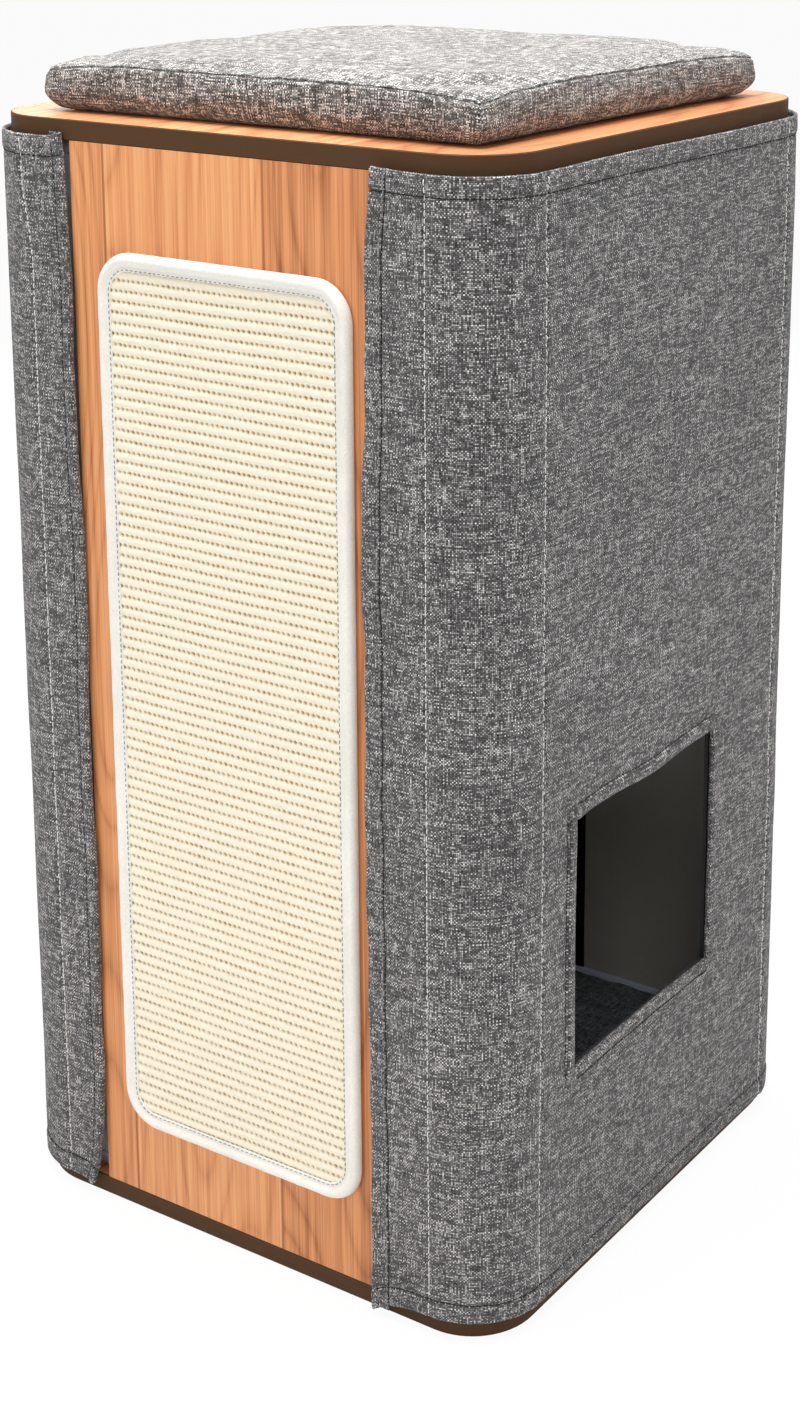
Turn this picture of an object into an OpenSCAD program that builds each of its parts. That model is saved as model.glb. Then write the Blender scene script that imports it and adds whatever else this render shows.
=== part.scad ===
// Tall cat condo: two round-cornered boards held apart by a front and a back panel, wrapped in a sewn
// sleeve with stiffeners in its pockets, with an entrance in the right wall, a sisal scratching mat on
// the front panel, and a loose cushion on the top board and on the den floor.
// Millimetres, +Z up. The origin is at the middle of the base board's underside, the front faces -Y.

/* [Boards] */
// Side of the square base and top boards
board_w = 360; // [320:1:420]
// Radius of the boards' upright corners
corner_r = 41; // [36:1:50]
// Thickness of the base and top boards
board_t = 12; // [11:0.5:18]
// Thickness of the band glued round each board's edge
band_t = 1; // [0.8:0.1:2]
// Bevel along the band's edges
band_bevel = 0.6; // [0.3:0.1:0.7]

/* [Panels] */
// Height of the front and back panels, which is the gap between the boards
panel_h = 659; // [620:1:760]
// Distance from a panel's edge to the start of the corner
strip_w = 28; // [20:1:40]
// Thickness of the front and back panels
panel_t = 9; // [9:0.5:12]

/* [Joinery] */
// Diameter of the wooden dowels
dowel_d = 6; // [5:0.5:6]
// Length of a dowel inside the panel
dowel_in_panel = 14; // [10:1:20]
// Length of a dowel inside the board
dowel_in_board = 8; // [6:0.5:9]
// Distance of each dowel from the edge of its panel
dowel_inset = 23; // [15:1:30]
// Distance from each dowel to the cam fitting beside it
cam_spacing = 30; // [20:1:40]
// Diameter of the cam
cam_d = 12; // [11:0.5:15]
// Depth of the cam in the panel's inner face
cam_depth = 7.5; // [7.3:0.1:8]
// Distance of the cam's axis from the panel's end
cam_inset = 24; // [20:1:34]
// Diameter of the cam bolt's shank
bolt_d = 4; // [3.5:0.1:4.2]
// Diameter of the cam bolt's head
bolt_head_d = 5; // [4.6:0.1:5.2]
// Length of the cam bolt's head
bolt_head_l = 2.4; // [2:0.1:3]
// Length of the cam bolt inside the board
bolt_in_board = 8; // [6:0.5:9]

/* [Sleeve] */
// Thickness of the outer cloth
cover_t = 1.4; // [1:0.1:2]
// Thickness of the stiffeners in the cloth's pockets
stiffener_t = 2.4; // [1.5:0.1:3]
// Thickness of the non-woven lining
liner_t = 1.2; // [0.8:0.1:2]
// How far the lining's side walls stand inside the boards' edge
liner_inset = 0.6; // [0.4:0.1:2]
// How much tighter the lining's corners are than the boards'
liner_tighter = 5; // [2:0.5:8]
// How far the cloth hangs below the base board's upper face
cover_drop = 2; // [1:0.5:6]
// How far the cloth rises above the top board's underside
cover_rise = 1; // [0.5:0.5:6]
// Width of the hems at the cloth's foot and head
hem_w = 12; // [8:1:16]
// How far a hem stands out of the cloth
hem_t = 0.7; // [0.4:0.1:1.2]
// Width of the hook-and-loop closing tape on the lining's back
tape_w = 58; // [30:1:80]
// Thickness of the closing tape
tape_t = 1.5; // [1:0.1:2.5]

/* [Front flaps] */
// How far the right flap laps over the front panel at mid height
right_lap = 13.5; // [8:0.5:18]
// How far the right flap draws back at its top end
right_top_flare = 8.5; // [2:0.5:10]
// How far the right flap draws back at its bottom end
right_foot_flare = 4.5; // [1:0.5:8]
// How far the right flap's corner sags below the cloth's lower edge
right_sag = 6; // [0:0.5:7]
// How far the left flap laps over the front panel at mid height
left_lap = 1; // [0:0.5:6]
// How far the left flap draws back at its top end
left_top_flare = 6; // [2:0.5:10]
// How far the left flap draws back at its bottom end
left_foot_flare = 10; // [2:0.5:12]
// Distance of a flap's stiffener from the panel's edge, so that it ends at the hem's stitch line
flap_stiffener_gap = 11; // [9:0.5:14]

/* [Entrance] */
// Width of the entrance
entrance_w = 162; // [140:1:190]
// Height of the entrance
entrance_h = 156; // [140:1:200]
// Height of the sill above the floor
entrance_sill = 146; // [110:1:200]
// How far the entrance lies towards the front, from the wall's middle
entrance_forward = 24; // [0:1:34]
// Width of the hem round the entrance
entrance_hem_w = 9; // [6:0.5:12]

/* [Sisal mat] */
// Distance from the mat's side to the right flap's edge
mat_side_gap = 7.5; // [4:0.5:20]
// Height of the mat's lower edge above the base board
mat_rise = 50; // [20:1:70]
// Distance from the mat's upper edge to the top board
mat_headroom = 60; // [20:1:80]
// Corner radius of the mat
mat_r = 24; // [16:1:34]
// Distance from one rib of the weave to the next
rib_pitch = 6.3; // [5:0.1:9]
// How far the ribs stand out of the weave
rib_rise = 2.2; // [1:0.1:2.4]
// Thickness of the weave under its ribs
weave_t = 1.4; // [1:0.1:3]
// Thickness of the latex backing
backing_t = 1.2; // [0.8:0.1:2]
// Width of the binding tape round the mat
binding_w = 9; // [6:0.5:12]
// Height of the binding's straight side
binding_side = 3.4; // [2:0.1:5]
// How far the binding's back is domed
binding_dome = 3; // [1:0.1:4]

/* [Top cushion] */
// Distance from the top cushion to the edge of the top board
top_pad_margin = 24; // [15:1:40]
// Thickness of the top cushion at the middle of its crown
top_pad_t = 30; // [24:1:50]

/* [Floor cushion] */
// Distance from the floor cushion to the tape on the den's back wall
floor_pad_gap = 4; // [2:0.5:15]
// Thickness of the floor cushion at the middle of its crown
floor_pad_t = 36; // [24:1:60]

/* [Cushions] */
// Corner radius of the cushions, seen from above
pad_r = 14; // [10:1:30]
// How far the cushions' sides are drawn in between their corners
pad_pull = 2.5; // [1:0.5:6]
// How far the cushions' lower edge is tucked under
pad_tuck = 8; // [4:0.5:14]
// Thickness of the cushions' cloth
pad_cloth_t = 1; // [0.8:0.1:1.5]

/* [Hidden] */
$fn = 64;

// Clearance between pieces that lie against each other
fit_gap = 0.3;
// Clearance all round a pin in its hole
pin_gap = 0.08;
// How far a cut runs past the face that it opens
overrun = 1;

// Heights of the top board
lid_under = board_t + panel_h;
lid_top = lid_under + board_t;

// Plan of the boards: half of a side, and the axes of the corners
half_w = board_w / 2;
axis_w = half_w - corner_r;

// Front and back panels, and the fittings along their ends
panel_edge = axis_w - strip_w;
panel_w = 2 * panel_edge;
dowel_x = panel_edge - dowel_inset;
cam_x = dowel_x - cam_spacing;

// Layers of the sleeve, as radii about a corner's axis
sleeve_in = corner_r + fit_gap;
stiffener_out = sleeve_in + stiffener_t;
cover_in = stiffener_out + fit_gap;
cover_out = cover_in + cover_t;
hem_out = cover_out + hem_t;
cover_foot = board_t - cover_drop;
cover_head = lid_under + cover_rise;
pocket_foot = cover_foot + cover_t;
pocket_head = cover_head - cover_t;

// Plan of the lining, which stands on the base board inside the panels
liner_half_x = half_w - liner_inset;
liner_half_y = half_w - panel_t - fit_gap;
liner_r = corner_r - liner_tighter;
liner_axis_x = liner_half_x - liner_r;
liner_axis_y = liner_half_y - liner_r;
liner_in_r = liner_r - liner_t;
liner_foot = board_t;
liner_head = lid_under - fit_gap;

// Entrance, measured on the right wall
entrance_y = -entrance_forward;
entrance_margin = cover_t + fit_gap;
jamb_in = liner_half_x - liner_t;

// Flaps, measured on the front
right_edge_mid = panel_edge - right_lap;
left_edge_mid = panel_edge - left_lap;
flap_steps = 24;
right_top_power = 6;
right_foot_power = 1.5;
left_top_power = 8;
left_foot_power = 24;
sag_power = 5;

// Mat, measured on the front panel
mat_w = 2 * (right_edge_mid - mat_side_gap);
mat_h = panel_h - mat_rise - mat_headroom;
mat_z = board_t + mat_rise + mat_h / 2;
weave_w = mat_w - 2 * binding_w;
weave_h = mat_h - 2 * binding_w;
weave_r = mat_r - binding_w;
rib_count = ceil(weave_h / rib_pitch);
rib_r = (rib_pitch * rib_pitch / 4 + rib_rise * rib_rise) / (2 * rib_rise);
dome_r = (binding_w * binding_w / 4 + binding_dome * binding_dome) / (2 * binding_dome);

// Floor of the valleys between the ribs, as a share of the ribs' rise
valley_share = 0.12;

// Screwdriver cross in each cam, as shares of the cam
cross_length_share = 0.6;
cross_width_share = 0.12;
cross_depth_share = 0.12;

// Sides of the cushions at their widest
top_pad_w = board_w - 2 * top_pad_margin;
floor_pad_w = 2 * (liner_half_y - liner_t - tape_t - floor_pad_gap);

// Side of a cushion from its tucked edge up to the seam: shares of the tuck and of the thickness
pad_side_shares = [[1, 0], [0.4, 0.09], [0.1, 0.26], [0, 0.48], [0.06, 0.7], [0.3, 0.88]];
// Crown of a cushion inside the seam: shares of the seam's plan and of the thickness
pad_crown_shares = [[0.8, 0.94], [0.5, 0.985], [0.2, 1]];
pad_arc_steps = 5;
pad_side_steps = 7;

// Plan of a board or plate with round corners
module rounded_plan(w, d, r) {
    square([w - 2 * r, d], center = true);
    square([w, d - 2 * r], center = true);
    for (x = [-1, 1], y = [-1, 1]) {
        translate([x * (w / 2 - r), y * (d / 2 - r)]) circle(r);
    }
}

// Places its children at each of the two panels, turned so that the panel's outer face is at -Y
module each_panel() {
    for (turn = [0, 180]) {
        rotate([0, 0, turn]) children();
    }
}

// Places its children at both ends of a panel, at a distance to each side of its middle.
// There +Z runs into the panel from the board that it meets
module each_panel_end(distance) {
    each_panel() {
        for (x = [-distance, distance]) {
            translate([x, panel_t / 2 - half_w, board_t]) children();
            translate([x, panel_t / 2 - half_w, lid_under]) mirror([0, 0, 1]) children();
        }
    }
}

// A straight pin through the joint between a panel and a board
module joint_pin(d, in_board, in_panel, gap) {
    translate([0, 0, -in_board - gap]) cylinder(d = d + 2 * gap, h = in_board + in_panel + 2 * gap);
}

// The head of a cam bolt, centred on the cam's axis
module bolt_head(gap) {
    translate([0, 0, cam_inset - bolt_head_l / 2 - gap])
        cylinder(d = bolt_head_d + 2 * gap, h = bolt_head_l + 2 * gap);
}

// The room that a cam takes in the panel, open to the panel's inner face
module cam_body(gap) {
    translate([0, panel_t / 2 - cam_depth - gap, cam_inset])
        rotate([-90, 0, 0]) cylinder(d = cam_d + 2 * gap, h = cam_depth + gap);
}

module joint_holes() {
    each_panel_end(dowel_x) joint_pin(dowel_d, dowel_in_board, dowel_in_panel, pin_gap);
    each_panel_end(cam_x) joint_pin(bolt_d, bolt_in_board, cam_inset, pin_gap);
}

module board_core() {
    linear_extrude(board_t)
        rounded_plan(board_w - 2 * band_t, board_w - 2 * band_t, corner_r - band_t);
}

// The band's section, in radius about a corner's axis and height, with its outer edges bevelled
module band_section() {
    polygon([
        [corner_r - band_t, 0],
        [corner_r - band_bevel, 0],
        [corner_r, band_bevel],
        [corner_r, board_t - band_bevel],
        [corner_r - band_bevel, board_t],
        [corner_r - band_t, board_t]
    ]);
}

module edge_band() {
    color("#4f3526") for (turn = [0 : 90 : 270]) {
        rotate([0, 0, turn]) {
            wall_run(axis_w, 2 * axis_w) band_section();
            corner_run(axis_w, axis_w) band_section();
        }
    }
}

module base_board() {
    color("#c98d5f") difference() {
        board_core();
        joint_holes();
    }
}

module base_edge_band() {
    edge_band();
}

module top_board() {
    color("#c98d5f") difference() {
        translate([0, 0, lid_under]) board_core();
        joint_holes();
    }
}

module top_edge_band() {
    translate([0, 0, lid_under]) edge_band();
}

// A panel as it stands at the front, with its bores
module upright_panel() {
    difference() {
        translate([-panel_edge, -half_w, board_t]) cube([panel_w, panel_t, panel_h]);
        joint_holes();
        each_panel_end(cam_x) {
            cam_body(pin_gap);
            translate([0, overrun, 0]) cam_body(pin_gap);
        }
    }
}

module front_panel() {
    color("#d29a68") upright_panel();
}

module back_panel() {
    color("#d29a68") rotate([0, 0, 180]) upright_panel();
}

module wood_dowels() {
    color("#e3c79b") each_panel_end(dowel_x) joint_pin(dowel_d, dowel_in_board, dowel_in_panel, 0);
}

module cam_bolts() {
    color("silver") each_panel_end(cam_x) {
        joint_pin(bolt_d, bolt_in_board, cam_inset, 0);
        bolt_head(0);
    }
}

// The cross for the screwdriver, cut into the cam's face
module cam_cross() {
    for (turn = [0, 90]) {
        translate([0, panel_t / 2, cam_inset]) rotate([0, turn, 0])
            cube([cam_d * cross_length_share, 2 * cam_depth * cross_depth_share,
                  cam_d * cross_width_share], center = true);
    }
}

module cam_locks() {
    color("#9a9c9e") each_panel_end(cam_x) difference() {
        cam_body(0);
        joint_pin(bolt_d, bolt_in_board, cam_inset, pin_gap);
        bolt_head(pin_gap);
        cam_cross();
    }
}

// A straight run that faces +X: its section, in radius and height, drawn out along Y
module wall_run(axis, length) {
    translate([axis, length / 2, 0]) rotate([90, 0, 0]) linear_extrude(length) children();
}

// A corner between +X and +Y: its section, in radius and height, swept round the corner's axis
module corner_run(axis_x, axis_y) {
    translate([axis_x, axis_y, 0]) rotate_extrude(angle = 90) children();
}

// A plain sheet's section between two radii and two heights
module sheet_section(r_in, r_out, foot, head) {
    translate([r_in, foot]) square([r_out - r_in, head - foot]);
}

// The cloth's section: a pocket, open inwards, with a thicker hem at its foot and head
module cover_section() {
    difference() {
        sheet_section(sleeve_in, hem_out, cover_foot, cover_head);
        sheet_section(sleeve_in - overrun, cover_in, pocket_foot, pocket_head);
        sheet_section(cover_out, hem_out + overrun, cover_foot + hem_w, cover_head - hem_w);
    }
}

module stiffener_section() {
    sheet_section(sleeve_in, stiffener_out, pocket_foot + fit_gap, pocket_head - fit_gap);
}

module liner_section() {
    sheet_section(liner_in_r, liner_r, liner_foot, liner_head);
}

// A block over the entrance, wider by a margin, between two distances from the middle of the condo
module entrance_block(margin, x_in, x_out) {
    translate([x_in, entrance_y - entrance_w / 2 - margin, entrance_sill - margin])
        cube([x_out - x_in, entrance_w + 2 * margin, entrance_h + 2 * margin]);
}

// Cuts the entrance, wider by a margin, through a right wall
module with_entrance(margin) {
    difference() {
        children();
        entrance_block(margin, jamb_in - overrun, axis_w + hem_out + overrun);
    }
}

module liner_wall_x() {
    wall_run(liner_axis_x, 2 * liner_axis_y) liner_section();
}

module liner_wall_y() {
    rotate([0, 0, 90]) wall_run(liner_axis_y, 2 * liner_axis_x) liner_section();
}

module liner_corner() {
    corner_run(liner_axis_x, liner_axis_y) liner_section();
}

module liner_front() {
    color("#aeb3ba") rotate([0, 0, 180]) liner_wall_y();
}

module liner_back() {
    color("#aeb3ba") liner_wall_y();
}

module liner_left() {
    color("#aeb3ba") rotate([0, 0, 180]) liner_wall_x();
}

module liner_right() {
    color("#aeb3ba") with_entrance(entrance_margin) liner_wall_x();
}

module liner_corner_rear_right() {
    color("#aeb3ba") liner_corner();
}

module liner_corner_rear_left() {
    color("#aeb3ba") mirror([1, 0, 0]) liner_corner();
}

module liner_corner_front_right() {
    color("#aeb3ba") mirror([0, 1, 0]) liner_corner();
}

module liner_corner_front_left() {
    color("#aeb3ba") rotate([0, 0, 180]) liner_corner();
}

module back_closing_tape() {
    color("#1c1c1e") translate([-tape_w / 2, liner_half_y - liner_t - tape_t, liner_foot])
        cube([tape_w, tape_t, liner_head - liner_foot]);
}

module stiffener_wall() {
    wall_run(axis_w, 2 * axis_w - 2 * fit_gap) stiffener_section();
}

module stiffener_corner() {
    corner_run(axis_w, axis_w) stiffener_section();
}

module stiffener_left() {
    color("#c9c2b2") rotate([0, 0, 180]) stiffener_wall();
}

module stiffener_right() {
    color("#c9c2b2") with_entrance(entrance_margin) stiffener_wall();
}

module stiffener_back() {
    color("#c9c2b2") rotate([0, 0, 90]) stiffener_wall();
}

module stiffener_corner_rear_right() {
    color("#c9c2b2") stiffener_corner();
}

module stiffener_corner_rear_left() {
    color("#c9c2b2") rotate([0, 0, 90]) stiffener_corner();
}

module stiffener_corner_front_left() {
    color("#c9c2b2") rotate([0, 0, 180]) stiffener_corner();
}

module stiffener_corner_front_right() {
    color("#c9c2b2") rotate([0, 0, 270]) stiffener_corner();
}

// The strip beside the front panel, as it lies at the right of the front
module flap_stiffener() {
    board_strip = strip_w - flap_stiffener_gap - fit_gap;
    translate([panel_edge + flap_stiffener_gap, 0, 0]) rotate([0, 0, -90])
        translate([0, board_strip / 2, 0]) wall_run(axis_w, board_strip) stiffener_section();
}

module stiffener_flap_right() {
    color("#c9c2b2") flap_stiffener();
}

module stiffener_flap_left() {
    color("#c9c2b2") mirror([1, 0, 0]) flap_stiffener();
}

module cover_wall() {
    wall_run(axis_w, 2 * axis_w) cover_section();
}

module cover_corner() {
    corner_run(axis_w, axis_w) cover_section();
}

module cover_left() {
    color("#77787b") rotate([0, 0, 180]) cover_wall();
}

module cover_back() {
    color("#77787b") rotate([0, 0, 90]) cover_wall();
}

// The right wall's cloth has a hem round the entrance and turns in through the wall there
module cover_right() {
    color("#77787b") with_entrance(0) {
        cover_wall();
        entrance_block(cover_t, jamb_in, axis_w + hem_out);
        entrance_block(entrance_hem_w, axis_w + cover_in, axis_w + hem_out);
    }
}

module cover_corner_rear_right() {
    color("#77787b") cover_corner();
}

module cover_corner_rear_left() {
    color("#77787b") rotate([0, 0, 90]) cover_corner();
}

module cover_corner_front_left() {
    color("#77787b") rotate([0, 0, 180]) cover_corner();
}

module cover_corner_front_right() {
    color("#77787b") rotate([0, 0, 270]) cover_corner();
}

// A flap of the cloth at the right of the front: straight along the seam, drawn back at both ends
// of its free edge, with its lower corner sagging
module flap(edge_mid, top_flare, foot_flare, top_power, foot_power, sag) {
    rise = cover_head - cover_foot;
    free_edge = [
        for (i = [0 : flap_steps])
            let (u = i / flap_steps)
            [edge_mid + top_flare * pow(u, top_power) + foot_flare * pow(1 - u, foot_power),
             cover_foot + u * rise - (i == 0 ? sag : 0)]
    ];
    foot_x = free_edge[0].x;
    foot_edge = [
        for (i = [1 : flap_steps - 1])
            let (u = i / flap_steps)
            [axis_w - u * (axis_w - foot_x), cover_foot - sag * pow(u, sag_power)]
    ];
    outline = concat([[axis_w, cover_head], [axis_w, cover_foot]], foot_edge, free_edge);
    hem_line = [for (i = [flap_steps - 2 : -1 : 2]) [free_edge[i].x + hem_w, free_edge[i].y]];
    translate([0, -axis_w - cover_in, 0]) rotate([90, 0, 0]) {
        linear_extrude(cover_t) polygon(outline);
        linear_extrude(cover_t + hem_t) difference() {
            polygon(outline);
            polygon(concat([[axis_w + overrun, cover_foot + hem_w], [axis_w + overrun, cover_head - hem_w],
                            [hem_line[0].x, cover_head - hem_w]], hem_line,
                           [[hem_line[len(hem_line) - 1].x, cover_foot + hem_w]]));
        }
    }
}

module cover_flap_right() {
    color("#77787b") flap(right_edge_mid, right_top_flare, right_foot_flare,
                          right_top_power, right_foot_power, right_sag);
}

module cover_flap_left() {
    color("#77787b") mirror([1, 0, 0])
        flap(left_edge_mid, left_top_flare, left_foot_flare, left_top_power, left_foot_power, 0);
}

// Stands its children, drawn in X and Z and drawn out to -Y, on the front panel's face
module on_front_panel(rise) {
    translate([0, -half_w - rise, mat_z]) rotate([90, 0, 0]) children();
}

module mat_backing() {
    color("#d8d2c0") on_front_panel(0) linear_extrude(backing_t)
        rounded_plan(weave_w, weave_h, weave_r);
}

// The weave's ribs, as one outline in height and depth
module rib_outline() {
    square([weave_h, weave_t + rib_rise * valley_share]);
    intersection() {
        square([weave_h, weave_t + rib_rise + overrun]);
        for (i = [0 : rib_count - 1]) {
            translate([(i + 1 / 2) * rib_pitch, weave_t + rib_rise - rib_r]) circle(rib_r);
        }
    }
}

module sisal_weave() {
    color("#f3ead0") intersection() {
        on_front_panel(backing_t) linear_extrude(weave_t + rib_rise + overrun)
            rounded_plan(weave_w, weave_h, weave_r);
        translate([-weave_w / 2, -half_w - backing_t, mat_z - weave_h / 2])
            rotate([0, -90, 180]) linear_extrude(weave_w) rib_outline();
    }
}

// The binding's section: a straight side with a domed back, outside the weave's edge
module binding_section(r_in) {
    translate([r_in, 0]) {
        square([binding_w, binding_side]);
        intersection() {
            translate([binding_w / 2, binding_side + binding_dome - dome_r]) circle(dome_r);
            square([binding_w, binding_side + binding_dome + overrun]);
        }
    }
}

module mat_binding() {
    run_x = mat_w - 2 * mat_r;
    run_y = mat_h - 2 * mat_r;
    color("white") on_front_panel(0) {
        for (turn = [0, 180]) {
            rotate([0, 0, turn]) wall_run(run_x / 2, run_y) binding_section(weave_r);
            rotate([0, 0, turn + 90]) wall_run(run_y / 2, run_x) binding_section(weave_r);
            rotate([0, 0, turn]) corner_run(run_x / 2, run_y / 2) binding_section(weave_r);
            rotate([0, 0, turn + 90]) corner_run(run_y / 2, run_x / 2) binding_section(weave_r);
        }
    }
}

// One ring of a cushion: a square plan with round corners and sides drawn in between them
function pad_ring(half, r, pull, z) = [
    for (k = [0 : 3])
        let (c = cos(90 * k), s = sin(90 * k))
        for (p = concat(
            [for (i = [0 : pad_arc_steps])
                let (a = 90 * i / pad_arc_steps)
                [half - r + r * cos(a), half - r + r * sin(a)]],
            [for (j = [1 : pad_side_steps])
                let (t = j / (pad_side_steps + 1))
                [(half - r) * (1 - 2 * t), half - 4 * pull * t * (1 - t)]]))
            [p.x * c - p.y * s, p.x * s + p.y * c, z]
];

// A cushion's crowned form, with its lower edge tucked under. It rests on z = 0
module pad_form(w, t, r, tuck) {
    half = w / 2;
    seam_inset = tuck * pad_side_shares[len(pad_side_shares) - 1][0];
    side = [for (p = pad_side_shares) pad_ring(half - tuck * p[0], r, pad_pull, t * p[1])];
    crown = [for (p = pad_crown_shares)
        pad_ring((half - seam_inset) * p[0], r * p[0], pad_pull * p[0], t * p[1])];
    rings = concat(side, crown);
    n = len(rings[0]);
    foot = len(rings) * n;
    peak = foot + 1;
    last = (len(rings) - 1) * n;
    points = concat([for (ring = rings) each ring], [[0, 0, 0], [0, 0, t]]);
    walls = [for (k = [0 : len(rings) - 2], i = [0 : n - 1])
        let (a = k * n + i, b = k * n + (i + 1) % n)
        each [[a, a + n, b], [b, a + n, b + n]]];
    caps = [for (i = [0 : n - 1])
        let (j = (i + 1) % n)
        each [[i, j, foot], [last + j, last + i, peak]]];
    polyhedron(points, concat(walls, caps));
}

// A cushion's cloth, hollow for its foam
module pad_cover(w, t) {
    difference() {
        pad_form(w, t, pad_r, pad_tuck);
        translate([0, 0, pad_cloth_t])
            pad_form(w - 2 * pad_cloth_t, t - 2 * pad_cloth_t, pad_r - pad_cloth_t, pad_tuck);
    }
}

// The foam inside a cushion's cloth
module pad_foam(w, t) {
    skin = pad_cloth_t + fit_gap;
    translate([0, 0, skin]) pad_form(w - 2 * skin, t - 2 * skin, pad_r - skin, pad_tuck);
}

module top_cushion_cover() {
    color("#85868a") translate([0, 0, lid_top + fit_gap]) pad_cover(top_pad_w, top_pad_t);
}

module top_cushion_foam() {
    color("#efe6c8") translate([0, 0, lid_top + fit_gap]) pad_foam(top_pad_w, top_pad_t);
}

module floor_cushion_cover() {
    color("#3a3c42") translate([0, 0, board_t + fit_gap]) pad_cover(floor_pad_w, floor_pad_t);
}

module floor_cushion_foam() {
    color("#efe6c8") translate([0, 0, board_t + fit_gap]) pad_foam(floor_pad_w, floor_pad_t);
}

base_board();
base_edge_band();
top_board();
top_edge_band();
front_panel();
back_panel();
wood_dowels();
cam_bolts();
cam_locks();
liner_front();
liner_left();
liner_back();
liner_right();
liner_corner_front_left();
liner_corner_rear_left();
liner_corner_rear_right();
liner_corner_front_right();
back_closing_tape();
stiffener_left();
stiffener_right();
stiffener_corner_front_left();
stiffener_corner_rear_left();
stiffener_corner_rear_right();
stiffener_corner_front_right();
stiffener_flap_left();
stiffener_flap_right();
stiffener_back();
cover_flap_left();
cover_corner_front_left();
cover_left();
cover_corner_rear_left();
cover_back();
cover_corner_rear_right();
cover_right();
cover_corner_front_right();
cover_flap_right();
mat_backing();
sisal_weave();
mat_binding();
top_cushion_cover();
top_cushion_foam();
floor_cushion_cover();
floor_cushion_foam();
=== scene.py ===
"""Dresses the cat condo: wood boards, sewn cloth sleeve with its lining, sisal mat and two cushions.

Shapes are worked out in millimetres and become metres where a mesh is made. Finishes and the studio are in metres.
"""

from __future__ import annotations

import logging
import math
from dataclasses import dataclass, field
from enum import Enum
from typing import Callable, ClassVar, Sequence

import bpy
import numpy as np
from mathutils import Matrix, Vector, noise


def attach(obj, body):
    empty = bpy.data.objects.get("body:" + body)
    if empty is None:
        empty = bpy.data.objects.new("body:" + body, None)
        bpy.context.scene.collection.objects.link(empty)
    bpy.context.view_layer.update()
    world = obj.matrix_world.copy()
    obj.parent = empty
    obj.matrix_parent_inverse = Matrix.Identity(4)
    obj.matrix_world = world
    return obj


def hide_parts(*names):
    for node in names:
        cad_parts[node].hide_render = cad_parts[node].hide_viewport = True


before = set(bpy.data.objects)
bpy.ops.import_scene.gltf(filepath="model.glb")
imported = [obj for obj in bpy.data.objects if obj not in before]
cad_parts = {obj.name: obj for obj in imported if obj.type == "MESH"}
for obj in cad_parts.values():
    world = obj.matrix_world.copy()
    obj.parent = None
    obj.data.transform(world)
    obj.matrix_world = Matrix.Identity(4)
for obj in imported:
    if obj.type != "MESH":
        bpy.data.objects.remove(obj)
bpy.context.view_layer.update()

log = logging.getLogger("cat_condo")
MM = 0.001
TINY = 1e-9
UP = np.array([0.0, 0.0, 1.0])
WHITE = (1.0, 1.0, 1.0, 1.0)
Array = np.ndarray
Colour = tuple[float, float, float, float]
Place = tuple[float, float, float]
Row = tuple[Array, Array, Array]
Section = Sequence[tuple[float, float]]
Piece = bpy.types.Object
Material = bpy.types.Material
Node = bpy.types.Node
Socket = bpy.types.NodeSocket
Tree = bpy.types.NodeTree


def srgb(red: int, green: int, blue: int) -> Colour:
    """The linear colour that shaders use, from one as seen on a screen with parts from 0 to 255."""
    parts = (v / 255.0 for v in (red, green, blue))
    return (*(p / 12.92 if p <= 0.04045 else ((p + 0.055) / 1.055) ** 2.4 for p in parts), 1.0)


def smooth_step(low: float, high: float, value: Array) -> Array:
    """Rises smoothly from 0 at low to 1 at high."""
    t = np.clip((value - low) / (high - low), 0.0, 1.0)
    return t * t * (3.0 - 2.0 * t)


def bell(distance: Array, width: float) -> Array:
    """A smooth hump of height 1 that fades over a width."""
    return np.exp(-((distance / width) ** 2))


def soft_noise(a: Array, b: Array, seed: float) -> Array:
    """Smooth noise from about -1 to 1 over two coordinates of one shape. A bump is about 1 wide."""
    flat = [noise.noise((x, y, seed)) for x, y in zip(a.ravel().tolist(), b.ravel().tolist())]
    return np.array(flat).reshape(a.shape)


def spaced(low: float, high: float, step: float, extra: Sequence[float] = ()) -> Array:
    """Sorted positions from low to high, about a step apart, with extra ones between.

    Args:
        low, high: the ends.
        step: the usual distance between positions.
        extra: positions that have to be there.

    Returns:
        The positions, with no two closer than a tenth of a millimetre.
    """
    count = max(1, round((high - low) / step))
    fixed = sorted({low, high, *[e for e in extra if low < e < high]})
    loose = [v for v in np.linspace(low, high, count + 1) if min(abs(v - f) for f in fixed) > 0.35 * step]
    merged = sorted({*fixed, *loose})
    kept = [merged[0]]
    for value in merged[1:]:
        if value - kept[-1] > 0.1:
            kept.append(value)
    return np.array(kept)


def quad_grid(
    columns: int, rows: int, ring: bool = False, tube: bool = False, skip: Callable[[int, int], bool] | None = None
) -> list[tuple[int, ...]]:
    """Faces of a grid of points kept column by column.

    Args:
        columns, rows: the numbers of points.
        ring, tube: whether the last column joins the first, and the last row the first.
        skip: tells which cells are left out.

    Returns:
        The faces.
    """
    faces = []
    for c in range(columns if ring else columns - 1):
        d = (c + 1) % columns
        for r in range(rows if tube else rows - 1):
            t = (r + 1) % rows
            if skip is None or not skip(c, r):
                faces.append((c * rows + r, c * rows + t, d * rows + t, d * rows + r))
    return faces


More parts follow.
